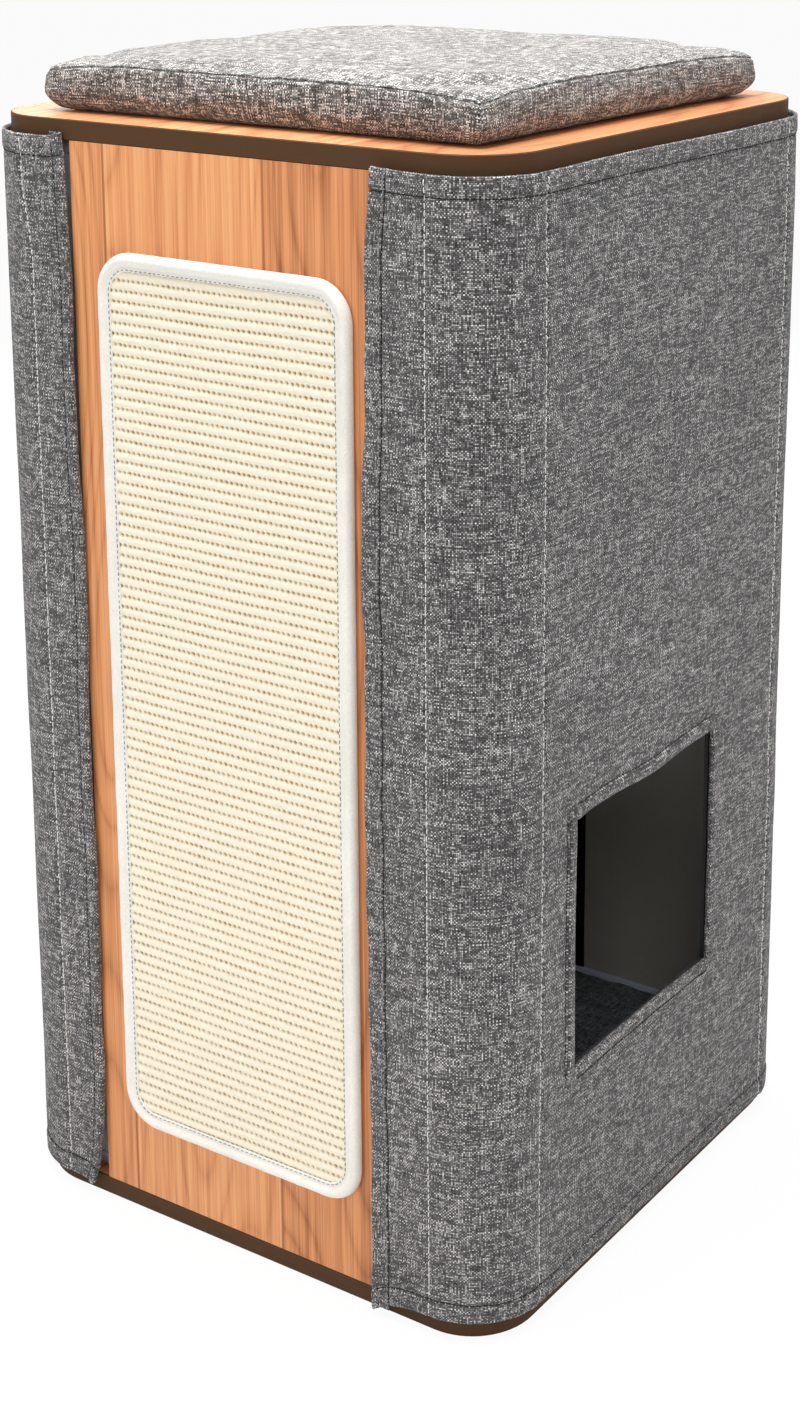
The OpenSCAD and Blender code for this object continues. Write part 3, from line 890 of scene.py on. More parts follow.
@dataclass
class Sleeve:
    """The sewn cloth round the condo, from the left flap round the back to the right flap.

    Places on it are s, the distance along its line from the left flap's edge, and the height z.
    """

    axis: float = 139.0
    radius: float = 45.4
    foot: float = 10.0
    head: float = 672.0
    left_reach: float = 29.0
    right_reach: float = 41.5
    hem: float = 12.0
    left_hem: float = 7.0
    hem_rise: float = 0.7
    hem_groove: float = 1.15
    thickness: float = 0.6
    entrance: tuple[float, float, float, float] = (-105.0, 57.0, 146.0, 302.0)
    entrance_hem: float = 9.0
    entrance_rise: float = 3.4
    entrance_groove: float = 2.2
    lip: float = 1.0
    jamb: float = 3.2
    stitch_in: float = 1.0
    stitch_out: float = 0.12
    step: float = 6.0
    outline: Outline = field(init=False)
    seams: list[float] = field(init=False)

    # Mesh lines beside a seam and beside a hem's stitches.
    SEAM_STEPS: ClassVar[list[float]] = [-4.0, -2.2, -0.9, 0.0, 0.9, 2.2, 4.0]
    HEM_STEPS: ClassVar[list[float]] = [-4.5, -2.6, -1.7, -1.0, -0.3, 0.6, 2.0]
    # Sections of the turned edges at top and foot, of the flaps' folds and of the entrance's rim.
    TURN: ClassVar[Section] = [(0.45, -0.15), (0.85, -0.5), (1.0, -1.0), (0.8, -1.6), (0.1, -2.0), (-3.0, -2.1)]
    FOLD: ClassVar[Section] = [
        (0.5, -0.2), (1.0, -0.7), (1.25, -1.5), (1.25, -2.8), (0.9, -3.7), (0.0, -4.1), (-9.0, -4.2)
    ]
    RIM: ClassVar[Section] = [(0.5, -0.2), (0.9, -0.6), (1.0, -1.3), (0.9, -2.3)]

    def __post_init__(self) -> None:
        """Lays out the line of the cloth."""
        self.outline = Outline.round_walls(self.axis, self.axis, self.radius, self.left_reach, self.right_reach)
        self.seams = [float(v) for v in self.outline.starts[1:-1]]

    def wall_place(self, y: float) -> float:
        """The distance along the line of a place on the right wall."""
        return self.outline.right_wall + self.axis - y

    def tips(self, s: Array) -> tuple[Array, Array]:
        """How far a place lies out on the left and on the right flap, from 0 at the seam to 1 at the edge."""
        first, last, end = self.seams[0], self.seams[-1], self.outline.length
        return np.clip((first - s) / first, 0.0, 1.0), np.clip((s - last) / (end - last), 0.0, 1.0)

    def drawn_back(self, s: Array, z: Array) -> Array:
        """Draws back the flaps' free edges, most at their ends, and lets them wander.

        Args:
            s, z: places on the cloth.

        Returns:
            The place along the line where the cloth lies.
        """
        u = np.clip((z - self.foot) / (self.head - self.foot), 0.0, 1.0)
        # Each flap's reach: drawn back at its top and foot, with small waves.
        left = self.left_reach - 6.0 * u**8 - 10.0 * (1 - u) ** 24 + 0.7 * np.sin(z / 29.0) + 0.4 * np.sin(z / 11.3)
        right = self.right_reach - 8.5 * u**6 - 4.5 * (1 - u) ** 1.5
        right = right + 0.8 * np.sin(z / 24.0 + 1.0) * u + 0.45 * np.sin(z / 9.7)
        first, last = self.seams[0], self.seams[-1]
        moved = np.where(s < first, first + (s - first) * left / self.left_reach, s)
        # The left seam is drawn round the corner below the top board.
        moved = moved + 7.0 * bell(s - first - 4.0, 14.0) * smooth_step(self.head - 75.0, self.head - 18.0, z)
        return np.where(s > last, last + (s - last) * right / self.right_reach, moved)

    def hang(self, s: Array, z: Array) -> Array:
        """How far the cloth's edges, and the entrance's, rise or sag from a level line.

        Args:
            s, z: places on the cloth.

        Returns:
            The rise.
        """
        low = np.clip(1 - (z - self.foot) / 130.0, 0.0, 1.0) ** 2
        high = np.clip(1 - (self.head - z) / 60.0, 0.0, 1.0) ** 2
        left_tip, right_tip = self.tips(s)
        corner = 0.5 * (self.seams[-2] + self.seams[-1])
        # The foot rises at the front right corner and drops at the flaps' tips, where the head rises.
        drop = 3.0 * bell(s - corner, 70.0) - 6.5 * right_tip**4 - 2.0 * left_tip**3
        lift = 3.5 * left_tip**6 + 1.2 * right_tip**3 + 0.5 * np.sin(s / 37.0)
        y0, y1, z0, z1 = self.entrance
        # The entrance's upper edge sags in waves, and its sill bows up.
        t = np.clip((s - self.wall_place(y1)) / (y1 - y0), 0.0, 1.0)
        bow = np.sin(math.pi * t)
        top = bell(z - z1, 16.0) * (-2.0 * bow + 1.1 * bow * np.sin(9.0 * t + 0.6) - 1.6 * bell(t - 0.97, 0.05))
        sill = bell(z - z0, 14.0) * (1.0 * bow - 1.5 * bell(t - 1.0, 0.04))
        return low * drop + high * lift + top + sill

    def hem_gaps(self, s: Array, z: Array) -> list[tuple[Array, float, float, float]]:
        """The distances from the cloth's free edges.

        Args:
            s, z: places on the cloth.

        Returns:
            For each hem the distance from its edge, its width, how far it stands out, and how deep its stitches draw
            it in.
        """
        y0, y1, z0, z1 = self.entrance
        gap_s = np.maximum(np.maximum(self.wall_place(y1) - s, s - self.wall_place(y0)), 0.0)
        gap_z = np.maximum(np.maximum(z0 - z, z - z1), 0.0)
        ends = [(z - self.foot, self.hem), (self.head - z, self.hem)]
        ends += [(s, self.left_hem), (self.outline.length - s, self.hem)]
        hems = [(gap, wide, self.hem_rise, self.hem_groove) for gap, wide in ends]
        rise = self.entrance_rise * self.hem_rise
        return [*hems, (np.hypot(gap_s, gap_z), self.entrance_hem, rise, self.entrance_groove)]

    def swell(self, s: Array, z: Array) -> Array:
        """How far the cloth stands out of its flat line: hems, seams, puckers and soft waves.

        Args:
            s, z: places on the cloth.

        Returns:
            The distance.
        """
        out, line = np.zeros(s.shape), np.zeros(s.shape)
        for gap, width, rise, deep in self.hem_gaps(s, z):
            plump = 0.55 + 0.45 * np.sin(math.pi * np.clip(gap / width, 0.0, 1.0)) ** 0.6
            out = np.maximum(out, rise * plump * smooth_step(width + 0.6, width - 0.6, gap))
            line = np.maximum(line, deep * bell(gap - width + self.stitch_in, 1.0))
        out = out - line
        for number, seam in enumerate(self.seams):
            off = np.abs(s - seam)
            # A groove between two soft rolls, with puckers that fade beside it.
            out = out - 0.75 * bell(off, 1.2) + 0.3 * bell(off - 4.0, 2.6)
            out = out + 0.28 * np.sin(z / 1.25 + number + 2.0 * np.sin(z / 31.0)) * np.exp(-off / 6.0)
        # Soft waves all over, and short folds at head and foot.
        out = out + 0.9 + 0.75 * soft_noise(s / 95.0, z / 130.0, 1.5) + 0.35 * soft_noise(s / 34.0, z / 47.0, 7.5)
        ends = np.clip(bell(z - self.head, 60.0) + bell(z - self.foot, 60.0), 0.0, 1.0)
        out = out + 0.35 * soft_noise(s / 9.0, z / 60.0, 3.5) * ends
        # Folds that fan out from the entrance's corners.
        y0, y1, *edges_z = self.entrance
        for edge_s in (self.wall_place(y1), self.wall_place(y0)):
            for edge_z in edges_z:
                far, turn = np.hypot(s - edge_s, z - edge_z), np.arctan2(z - edge_z, s - edge_s)
                out = out + 0.9 * np.exp(-far / 20.0) * np.cos(5.0 * turn) * smooth_step(1.0, 9.0, far)
        # The flaps' tips bow away from the panel, most at the foot.
        left_tip, right_tip = self.tips(s)
        out = out + right_tip**3 * (0.6 + 0.7 * np.sin(z / 33.0) + 1.6 * bell(z - self.foot, 45.0))
        return out + left_tip**3 * (0.4 + 0.6 * np.sin(z / 41.0 + 1.0) + 1.2 * bell(z - self.foot, 35.0))

    def surface(self, s: Array, z: Array) -> Row:
        """The cloth's outer side.

        Args:
            s, z: places on the cloth.

        Returns:
            Points, normals and headings.
        """
        points, normals, headings = self.outline.trace(self.drawn_back(s, z), s)
        points = points + normals * self.swell(s, z)[..., None]
        points[..., 2] = z + self.hang(s, z)
        return points, normals, headings

    def opening(self) -> tuple[float, float, float, float]:
        """The cut of the entrance, a lip outside its edge, as s from and to and z from and to."""
        y0, y1, z0, z1 = self.entrance
        return self.wall_place(y1) - self.lip, self.wall_place(y0) + self.lip, z0 - self.lip, z1 + self.lip

    def grid(self) -> tuple[Array, Array]:
        """Lays out the mesh's lines, closer beside seams, hems and the entrance.

        Returns:
            The places of its columns and of its rows.
        """

        def beside(low: float, high: float) -> list[float]:
            """Lines beside two hems."""
            return [v for d in self.HEM_STEPS for v in (low + d, high - d)]

        s0, s1, z0, z1 = self.opening()
        end, hem, wide = self.outline.length, self.hem, self.entrance_hem - self.lip
        lines = [seam + d for seam in self.seams for d in self.SEAM_STEPS]
        lines += [s0, s1, 0.5, end - 0.5, *beside(s1 + wide, s0 - wide), *beside(self.left_hem, end - hem)]
        levels = [z0, z1, self.foot + 1.0, self.head - 1.0]
        levels += [*beside(z1 + wide, z0 - wide), *beside(self.foot + hem, self.head - hem)]
        return spaced(0.0, end, self.step, lines), spaced(self.foot, self.head, self.step, levels)

    def cloth(self) -> Patch:
        """Lays out the cloth with its turned edges.

        Returns:
            The cloth.
        """
        columns, rows = self.grid()
        grid_s, grid_z = np.meshgrid(columns, rows, indexing="ij")
        points, normals, heads = (v.reshape(-1, 3) for v in self.surface(grid_s, grid_z))
        s0, s1, z0, z1 = self.opening()
        c0, c1 = (int(np.argmin(abs(columns - v))) for v in (s0, s1))
        r0, r1 = (int(np.argmin(abs(rows - v))) for v in (z0, z1))
        wide, tall = len(columns), len(rows)

        def inside(c: int, r: int) -> bool:
            """Whether a cell lies in the entrance."""
            return c0 <= c < c1 and r0 <= r < r1

        patch = Patch(points, np.stack([grid_s, grid_z], -1).reshape(-1, 2), quad_grid(wide, tall, skip=inside))
        number = np.arange(wide * tall).reshape(wide, tall)
        for edge, way in ((number[:, -1], UP), (number[::-1, 0], -UP)):
            patch.roll(edge.tolist(), np.tile(way, (wide, 1)), normals[edge], heads[edge], self.TURN)
        for edge, side in ((number[0], -1.0), (number[-1, ::-1], 1.0)):
            patch.roll(edge.tolist(), side * heads[edge], normals[edge], heads[edge], self.FOLD)
        loop = [*number[c0:c1, r0], *number[c1, r0:r1], *number[c1:c0:-1, r1], *number[c0, r1:r0:-1]]
        ways = np.zeros((len(loop), 3))
        for i, v in enumerate(loop):
            c, r = divmod(int(v), tall)
            ways[i] = heads[v] * (int(c == c0) - int(c == c1)) + UP * (int(r == r0) - int(r == r1))
        rim = [*self.RIM, (0.6, -self.jamb)]
        patch.roll([int(v) for v in loop], ways, normals[loop], heads[loop], rim, True)
        return patch

    def build(self, palette: Palette) -> list[Piece]:
        """Makes the cloth and its stitches.

        Args:
            palette: the finishes.

        Returns:
            The pieces.
        """
        patch = self.cloth()
        cloth = mesh_object("cover_cloth", patch.points, patch.faces, patch.uvs)
        finish_with(cloth, "SOLIDIFY", thickness=self.thickness * MM, offset=-1.0)
        nodes = [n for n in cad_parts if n.startswith("cover_")]
        fit(cloth, palette.cover.material(), nodes)
        flap = [self.upright_row(self.outline.length - self.hem + 2.2)]
        sewn = [
            Stitcher(length, radius).sew(name, rows, thread.material())
            for name, length, radius, rows, thread in (
                ("seam_stitches", 3.5, 0.38, [self.upright_row(v) for v in self.seams], palette.thread),
                ("hem_stitches", 3.3, 0.42, self.hem_rows(), palette.dark_thread),
                ("flap_stitches", 3.2, 0.36, flap, palette.grey_thread),
            )
        ]
        return [cloth, *sewn]

    def row_on(self, s: Array, z: Array) -> Row:
        """Stitches whose middles follow a line on the cloth, with their directions and normals."""
        points, normals, _ = self.surface(s, z)
        return points + normals * self.stitch_out, np.gradient(points, axis=0), normals

    def upright_row(self, s: float, gap: float = 4.0) -> Row:
        """One row of stitches up the cloth."""
        z = np.arange(self.foot + 2.5, self.head - 2.0, gap)
        return self.row_on(np.full(z.shape, s), z)

    def hem_rows(self, gap: float = 3.6, clear: float = 1.3) -> list[Row]:
        """Lays out the rows along all the hems.

        Args:
            gap: the distance between stitches.
            clear: how much further out the rows lie that the entrance's hem would hide from the front.

        Returns:
            The rows.
        """
        end, hem = self.outline.length, self.hem - self.stitch_in
        along = np.arange(2.0, end - 2.0, gap)
        levels = (self.foot + hem, self.head - hem)
        rows = [self.row_on(along, np.full(along.shape, level)) for level in levels]
        rows += [self.upright_row(v, gap) for v in (self.left_hem - self.stitch_in, end - hem)]
        y0, y1, z0, z1 = self.entrance
        off = self.entrance_hem - self.stitch_in
        s0, s1 = self.wall_place(y1) - off, self.wall_place(y0) + off
        across, up = np.arange(s0 + off, s1 - off, gap), np.arange(z0, z1, gap)
        rows += [self.row_on(across, np.full(across.shape, level)) for level in (z0 - off - clear, z1 + off)]
        return rows + [self.row_on(np.full(up.shape, place), up) for place in (s0 - clear, s1)]


@dataclass
class Lining:
    """The fleece sleeve inside the walls, with its turned foot and the tape that closes it."""

    half_x: float = 179.4
    half_y: float = 170.7
    radius: float = 36.0
    foot: float = 12.2
    head: float = 670.4
    thickness: float = 1.0
    entrance: tuple[float, float, float, float] = (-114.0, 68.0, 137.0, 311.0)
    turned: float = 34.0
    hem: float = 8.5
    tape_width: float = 58.0

    def outline(self, inset: float) -> Outline:
        """The sleeve's line in plan, drawn in by an inset, from the middle of the front."""
        ax, ay = self.half_x - self.radius, self.half_y - self.radius
        return Outline.round_walls(ax, ay, self.radius - inset, ax, ax)

    def sheet(self, name: str, inset: float, levels: Array, open_wall: bool) -> tuple[Piece, float]:
        """Makes one closed band of fleece.

        Args:
            name: the piece's name.
            inset: how far it lies inside the sleeve's outer face.
            levels: the heights of its rows.
            open_wall: whether the entrance is cut out.

        Returns:
            The piece and its length round.
        """
        line = self.outline(inset)
        y0, y1, z0, z1 = self.entrance
        wall = line.right_wall + self.half_y - self.radius
        s0, s1 = wall - y1, wall - y0
        columns = spaced(0.0, line.length, 6.0, [*line.starts, s0, s1])[:-1]
        grid_s, grid_z = np.meshgrid(columns, levels, indexing="ij")
        points, normals, _ = line.trace(grid_s)
        wave = 0.35 * soft_noise(grid_s / 70.0, grid_z / 110.0, 12.5) - 0.35
        groove = 0.3 * (bell(grid_z - self.foot - self.hem, 0.9) + bell(grid_z - self.head + self.hem, 0.9))
        points = points + normals * (wave - groove)[..., None]
        points[..., 2] = grid_z

        def cut(c: int, r: int) -> bool:
            """Whether a cell lies in the entrance."""
            return open_wall and s0 <= columns[c] + 0.5 < s1 and z0 <= 0.5 * (levels[r] + levels[r + 1]) < z1

        faces = quad_grid(len(columns), len(levels), ring=True, skip=cut)
        piece = mesh_object(name, points.reshape(-1, 3), faces, np.stack([grid_s, grid_z], -1).reshape(-1, 2))
        finish_with(piece, "SOLIDIFY", thickness=self.thickness * MM, offset=-1.0)
        return piece, line.length

    def stitches(self, palette: Palette) -> Piece:
        """Sews the hems at head and foot.

        Args:
            palette: the finishes.

        Returns:
            The stitches.
        """
        line, rows = self.outline(0.0), []
        for level in (self.foot + self.hem, self.head - self.hem):
            points, normals, headings = line.trace(np.arange(2.0, line.length - 2.0, 3.6))
            points = points + normals * -0.45
            points[:, 2] = level
            rows.append((points, headings, normals))
        return Stitcher(3.0, 0.28).sew("liner_stitches", rows, palette.dark_thread.material())

    def build(self, palette: Palette) -> list[Piece]:
        """Makes the fleece, its stitches, its turned foot and the tape.

        Args:
            palette: the finishes.

        Returns:
            The pieces.
        """
        y0, y1, z0, z1 = self.entrance
        low, high = self.foot + self.turned, self.head - self.turned
        hems = [v for d in (-0.9, 0.0, 0.9) for v in (self.foot + self.hem + d, self.head - self.hem + d)]
        levels = spaced(self.foot, self.head, 12.0, [z0, z1, *hems, low, high])
        body, length = self.sheet("liner_sleeve", 0.0, levels, True)
        fit(body, palette.lining.material(), [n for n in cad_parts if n.startswith("liner_")])
        # The bands at head and foot take the lighter hem fleece, painted light.
        body.data.materials.append(palette.lining_hem_painted_light.material())
        for face in body.data.polygons:
            face.material_index = int(not low < face.center.z / MM < high)
        stitches = self.stitches(palette)
        levels = np.linspace(self.foot, low, 7)
        foot, round_foot = self.sheet("liner_turned_foot", self.thickness + 0.5, levels, False)
        # The turned foot takes the lighter hem fleece too, painted light.
        fit(foot, palette.lining_hem_painted_light.material())
        return [body, stitches, foot, self.tape(palette)]

    def tape(self, palette: Palette) -> Piece:
        """Makes the closing tape up the middle of the back wall.

        Args:
            palette: the finishes.

        Returns:
            The tape.
        """
        wide = self.tape_width
        across = np.concatenate([[-0.5, -0.485, -0.46], np.linspace(-0.4, 0.4, 9), [0.46, 0.485, 0.5]]) * wide
        levels = spaced(self.foot, self.head, 8.0)
        grid_x, grid_z = np.meshgrid(across, levels, indexing="ij")
        edge = smooth_step(0.47 * wide, 0.5 * wide, np.abs(grid_x))
        depth = self.half_y - self.thickness - 1.4 + 0.5 * edge + 0.15 * soft_noise(grid_x / 8.0, grid_z / 25.0, 4.5)
        points = np.stack([grid_x, depth, grid_z], -1).reshape(-1, 3)
        faces = [f[::-1] for f in quad_grid(len(across), len(levels))]
        piece = mesh_object("closing_tape", points, faces, np.stack([grid_x, grid_z], -1).reshape(-1, 2))
        finish_with(piece, "SOLIDIFY", thickness=1.0 * MM, offset=-1.0)
        fit(piece, palette.tape.material(), ["back_closing_tape"])
        return piece


@dataclass
class ScratchMat:
    """The ribbed sisal mat on the front panel and its white binding."""

    width: float = 180.0
    height: float = 549.0
    middle: float = 336.5
    corner: float = 24.0
    face: float = -180.0
    backing: float = 1.2
    base: float = 1.4
    rib: float = 6.3
    rise: float = 2.3
    stitch: float = 3.7
    binding: float = 9.0
    tape_step: float = 3.0
    tape_flat: float = 16.5

    # The attribute in which the weave keeps its height, from which its finish paints shade into the grooves.
    DEPTH: ClassVar[str] = "depth"
    # The binding's section: distances from the mat's edge and heights over the panel.
    PROFILE: ClassVar[Section] = [
        (0.2, 0.0), (0.0, 2.0), (0.5, 4.0), (1.8, 5.6), (3.6, 6.3), (5.4, 6.0), (6.8, 5.2), (7.5, 4.6), (8.3, 4.7),
        (9.5, 4.9), (10.4, 4.6), (10.6, 4.0), (10.2, 3.3), (7.0, 3.0), (4.0, 0.3),
    ]

    def build(self, palette: Palette) -> list[Piece]:
        """Makes the weave, the binding and its stitches."""
        return [self.weave(palette), *self.edge(palette)]

    def weave_height(self, grid_x: Array, grid_z: Array) -> Array:
        """The weave's height: ribs of twisted rope, each held down by stitches that step from row to row.

        Args:
            grid_x, grid_z: places on the mat.

        Returns:
            The height, from about 0 to 1.
        """
        row_at = (grid_z + 0.5 * soft_noise(grid_x / 60.0, grid_z / 80.0, 2.5)) / self.rib
        t = row_at - np.floor(row_at)
        joint = np.floor(row_at + 0.5)
        step = grid_x / self.stitch + 0.5 * (joint % 2) + 0.5 * (row_at - joint)
        step = step + 0.12 * soft_noise(grid_x / 7.0, joint * 0.7, 5.5)
        # Narrow grooves between ribs, deep between the stitches, and the rope's twist on the ribs.
        groove = np.abs(np.cos(math.pi * t)) ** 5.0
        between = 0.5 - 0.5 * np.cos(2 * math.pi * step)
        twist = 0.5 + 0.5 * np.cos(2 * math.pi * (grid_x / self.stitch + 1.6 * t))
        uneven = 0.1 * soft_noise(grid_x / 3.0, grid_z / 3.0, 8.5)
        return 0.86 - groove * (0.22 + 0.62 * between**1.5) + 0.1 * (1 - groove) * twist + uneven

    def weave(self, palette: Palette) -> Piece:
        """Makes the weave.

        Args:
            palette: the finishes.

        Returns:
            The weave.
        """
        under = self.binding * 0.6
        half_w, half_h, inner = self.width / 2 - under, self.height / 2 - under, self.corner - under
        across, up = np.arange(-half_w, half_w + 0.5, 1.06), np.arange(-half_h, half_h + 0.5, 0.95)
        grid_x, grid_z = np.meshgrid(across, up, indexing="ij")
        height = self.weave_height(grid_x, grid_z)
        depth = self.backing + self.base + self.rise * (height - 0.15)
        off_x, off_z = (np.maximum(np.abs(g) - (h - inner), 0.0) for g, h in ((grid_x, half_w), (grid_z, half_h)))
        beyond = np.hypot(off_x, off_z) > inner + 0.4

        def cut(c: int, r: int) -> bool:
            """Whether a cell lies outside the mat's round corner."""
            return bool(beyond[c : c + 2, r : r + 2].all())

        points = np.stack([grid_x, self.face - depth, grid_z + self.middle], -1).reshape(-1, 3)
        faces = [f[::-1] for f in quad_grid(len(across), len(up), skip=cut)]
        piece = mesh_object("sisal_weave_mat", points, faces)
        # The height, kept for the finish's painted shade in the grooves.
        kept = piece.data.attributes.new(self.DEPTH, "FLOAT", "POINT")
        kept.data.foreach_set("value", np.clip(height, 0.0, 1.0).ravel())
        fit(piece, palette.sisal.material(), ["sisal_weave"])
        return piece

    def path(self, inset: float, step: float) -> Row:
        """Points round the mat, from its upper left corner.

        Args:
            inset: the distance inside the mat's outer edge.
            step: the distance between points.

        Returns:
            Points as x and z, outward directions and headings, each with rows of two.
        """
        ax, az = self.width / 2 - self.corner, self.height / 2 - self.corner
        parts = Outline.round_walls(ax, az, self.corner - inset, 2 * ax, 0.0).parts
        line = Outline(parts[4:8] + parts[:4])
        points, normals, headings = line.trace(
            np.linspace(0.0, line.length, max(8, round(line.length / step)), endpoint=False)
        )
        return points[:, :2], normals[:, :2], headings[:, :2]

    def edge(self, palette: Palette) -> list[Piece]:
        """Makes the binding, folded over the mat's edge and sewn down on the weave.

        Args:
            palette: the finishes.

        Returns:
            The binding and its stitches.
        """
        centre, outs, _ = self.path(self.binding / 2, self.tape_step)
        s = np.arange(len(centre))
        plump = 1.0 + 0.025 * np.sin(s * 0.9) + 0.05 * soft_noise(s / 5.0, 0 * s + 0.5, 6.5)
        rings = []
        for inset, lift in self.PROFILE:
            flat = centre + outs * (self.binding / 2 - inset * (0.8 + 0.2 * plump))[:, None]
            rings.append(np.stack([flat[:, 0], self.face - 0.1 - lift * plump, flat[:, 1] + self.middle], -1))
        faces = quad_grid(len(centre), len(rings), ring=True, tube=True)
        tape = mesh_object("mat_binding_tape", np.stack(rings, 1).reshape(-1, 3), faces)
        self.turn_outward(tape)
        finish_with(tape, "SUBSURF", levels=1, render_levels=1)
        tape.data.shade_smooth()
        fit(tape, palette.binding.material(), ["mat_binding"])
        inner, _, heads = self.path(9.6, 3.4)
        middles = np.stack([inner[:, 0], np.full(len(inner), self.face - 4.95), inner[:, 1] + self.middle], -1)
        row = (middles, np.insert(heads, 1, 0.0, axis=1), np.tile((0.0, -1.0, 0.0), (len(inner), 1)))
        sewn = Stitcher(2.5, 0.3).sew("binding_stitches", [row], palette.grey_thread.material())
        return [tape, sewn]

    @staticmethod
    def turn_outward(piece: Piece) -> None:
        """Makes all faces of a closed piece point outwards.

        Args:
            piece: the piece.
        """
        pick(piece)
        bpy.ops.object.mode_set(mode="EDIT")
        bpy.ops.mesh.select_all(action="SELECT")
        bpy.ops.mesh.normals_make_consistent(inside=False)
        bpy.ops.object.mode_set(mode="OBJECT")
        piece.select_set(False)


@dataclass
class Cushion:
    """A boxed cushion: a crowned top and a flat bottom, sewn to a band round the side."""

    name: str
    body: str
    nodes: tuple[str, ...]
    slot: str
    rests_at: float
    half: float
    thick: float
    fill: float
    corner: float = 10.0
    pull: float = 2.5
    tuck: float = 11.0
    droop: float = 6.0
    bulge: float = 1.2
    seam_share: float = 0.94
    seam_in: float = 0.6
    on_rim: float = 0.999
    carried: float = 0.94
    cells: int = 36
    cap: float = 4.0
    frames: int = 16
    seam_rows: tuple[list[int], list[int]] = field(init=False)

    # Mesh lines beside the seams, and heights of the band's rows as shares, of which the first rows are rounded.
    EDGE_STEPS: ClassVar[Place] = (0.9, 2.4, 4.6)
    BAND: ClassVar[list[float]] = [0.0, 0.04, 0.12, 0.25, 0.42, 0.62, 0.82, 0.95, 1.0]
    ROUNDED: ClassVar[float] = 0.42

    def plan(self, x: Array, y: Array, half: float) -> tuple[Array, Array]:
        """Rounds the corners of a square of points and draws in its sides.

        Args:
            x, y: places on the square, from -1 to 1.
            half: half of the cushion's side there.

        Returns:
            The places in plan.
        """
        core = half - self.corner
        px, py = x * half, y * half
        cx, cy = np.clip(px, -core, core), np.clip(py, -core, core)
        dx, dy = px - cx, py - cy
        far = np.hypot(dx, dy)
        share = np.where(far > TINY, np.maximum(np.abs(dx), np.abs(dy)) / np.maximum(far, TINY), 1.0)
        px, py = cx + dx * share, cy + dy * share
        return px - self.pull * x**5 * (1 - y**2), py - self.pull * y**5 * (1 - x**2)

    def form(self) -> tuple[Array, list[tuple[int, ...]], Array, Array]:
        """Lays out the cushion before it is filled: its top, its bottom, and the band between.

        Returns:
            Points, faces, cloth coordinates per face corner, and how firmly each point is sewn down.
        """
        inner = np.linspace(-1.0, 1.0, self.cells + 1)
        edge = np.array([1.0 - d / self.half for d in self.EDGE_STEPS])
        line = np.unique(np.concatenate([inner[1:-1], [-1.0, 1.0], edge, -edge]).round(6))
        gx, gy = np.meshgrid(line, line, indexing="ij")
        reach, seam_z = np.maximum(np.abs(gx), np.abs(gy)), self.seam_share * self.thick
        crown = seam_z + (self.thick - seam_z) * (1 - reach**10) - self.droop * np.abs(gx * gy) ** 6
        top = np.stack([*self.plan(gx, gy, self.half - self.seam_in), crown], -1).reshape(-1, 3)
        bottom = np.stack([*self.plan(gx, gy, self.half - self.tuck), 0 * gx], -1).reshape(-1, 3)
        n, size = len(line), len(line) ** 2
        cells = quad_grid(n, n)
        faces = [(a, b, c, d) for a, d, c, b in cells]
        faces += [(size + d, size + c, size + b, size + a) for a, d, c, b in cells]
        points = np.concatenate([top, bottom])
        uvs = [points[np.ravel(faces), :2]]
        rim = reach > self.on_rim
        sewn = np.concatenate([rim.ravel(), ((reach < self.carried) | rim).ravel()]).astype(float)
        number = np.arange(size).reshape(n, n)
        upper = np.concatenate([number[:-1, 0], number[-1, :-1], number[:0:-1, -1], number[0, :0:-1]])
        rows, count = [upper + size], len(upper)
        low, high = points[upper + size], points[upper]
        for share in self.BAND[1:-1]:
            out = math.sqrt(1.0 - (1.0 - min(share / self.ROUNDED, 1.0)) ** 2)
            ring = low + (high - low) * (out, out, share)
            away = ring[:, :2] / np.linalg.norm(ring[:, :2], axis=1, keepdims=True)
            ring[:, :2] += away * self.bulge * math.sin(math.pi * share)
            rows.append(np.arange(len(points), len(points) + count))
            points = np.concatenate([points, ring])
        rows.append(upper)
        lengths = np.linalg.norm(np.diff(high[[*range(count), 0], :2], axis=0), axis=1)
        around = np.concatenate([[0.0], np.cumsum(lengths)])
        for level in range(len(rows) - 1):
            z0, z1 = self.BAND[level] * seam_z, self.BAND[level + 1] * seam_z
            for i in range(count):
                j = (i + 1) % count
                faces.append((rows[level][i], rows[level][j], rows[level + 1][j], rows[level + 1][i]))
                s0, s1 = around[i], around[i + 1]
                uvs.append(np.array([(s0, z0), (s1, z0), (s1, z1), (s0, z1)]))
        self.seam_rows = (rows[0].tolist(), upper.tolist())
        return points, faces, np.concatenate(uvs), np.append(sewn, np.zeros(len(points) - len(sewn)))

    def fill_up(self, piece: Piece, start: Array) -> Array:
        """Fills the cushion by cloth simulation with pressure, and holds how far it may swell.

        Args:
            piece: the cushion, with its sewn points in a vertex group.
            start: its points before filling.

        Returns:
            The points after filling.
        """
        cloth = piece.modifiers.new("cloth", "CLOTH")
        settings = {
            "quality": 5, "mass": 0.25, "tension_stiffness": 20.0, "compression_stiffness": 12.0,
            "bending_stiffness": 0.25, "use_pressure": True, "uniform_pressure_force": 2.0,
            "vertex_group_mass": "sewn", "pin_stiffness": 2.0, "shrink_min": -0.012,
        }
        for key, value in settings.items():
            setattr(cloth.settings, key, value)
        cloth.settings.effector_weights.gravity = 0.0
        cloth.point_cache.frame_end = self.frames
        scene = bpy.context.scene
        for number in range(1, self.frames + 1):
            scene.frame_set(number)
        shown = piece.evaluated_get(bpy.context.evaluated_depsgraph_get())
        found = np.empty(len(start) * 3)
        shown.to_mesh().vertices.foreach_get("co", found)
        shown.to_mesh_clear()
        piece.modifiers.remove(cloth)
        scene.frame_set(1)
        moved = found.reshape(-1, 3) / MM - start
        far = np.linalg.norm(moved, axis=1, keepdims=True)
        return start + moved * np.minimum(1.0, self.cap / np.maximum(far, TINY))

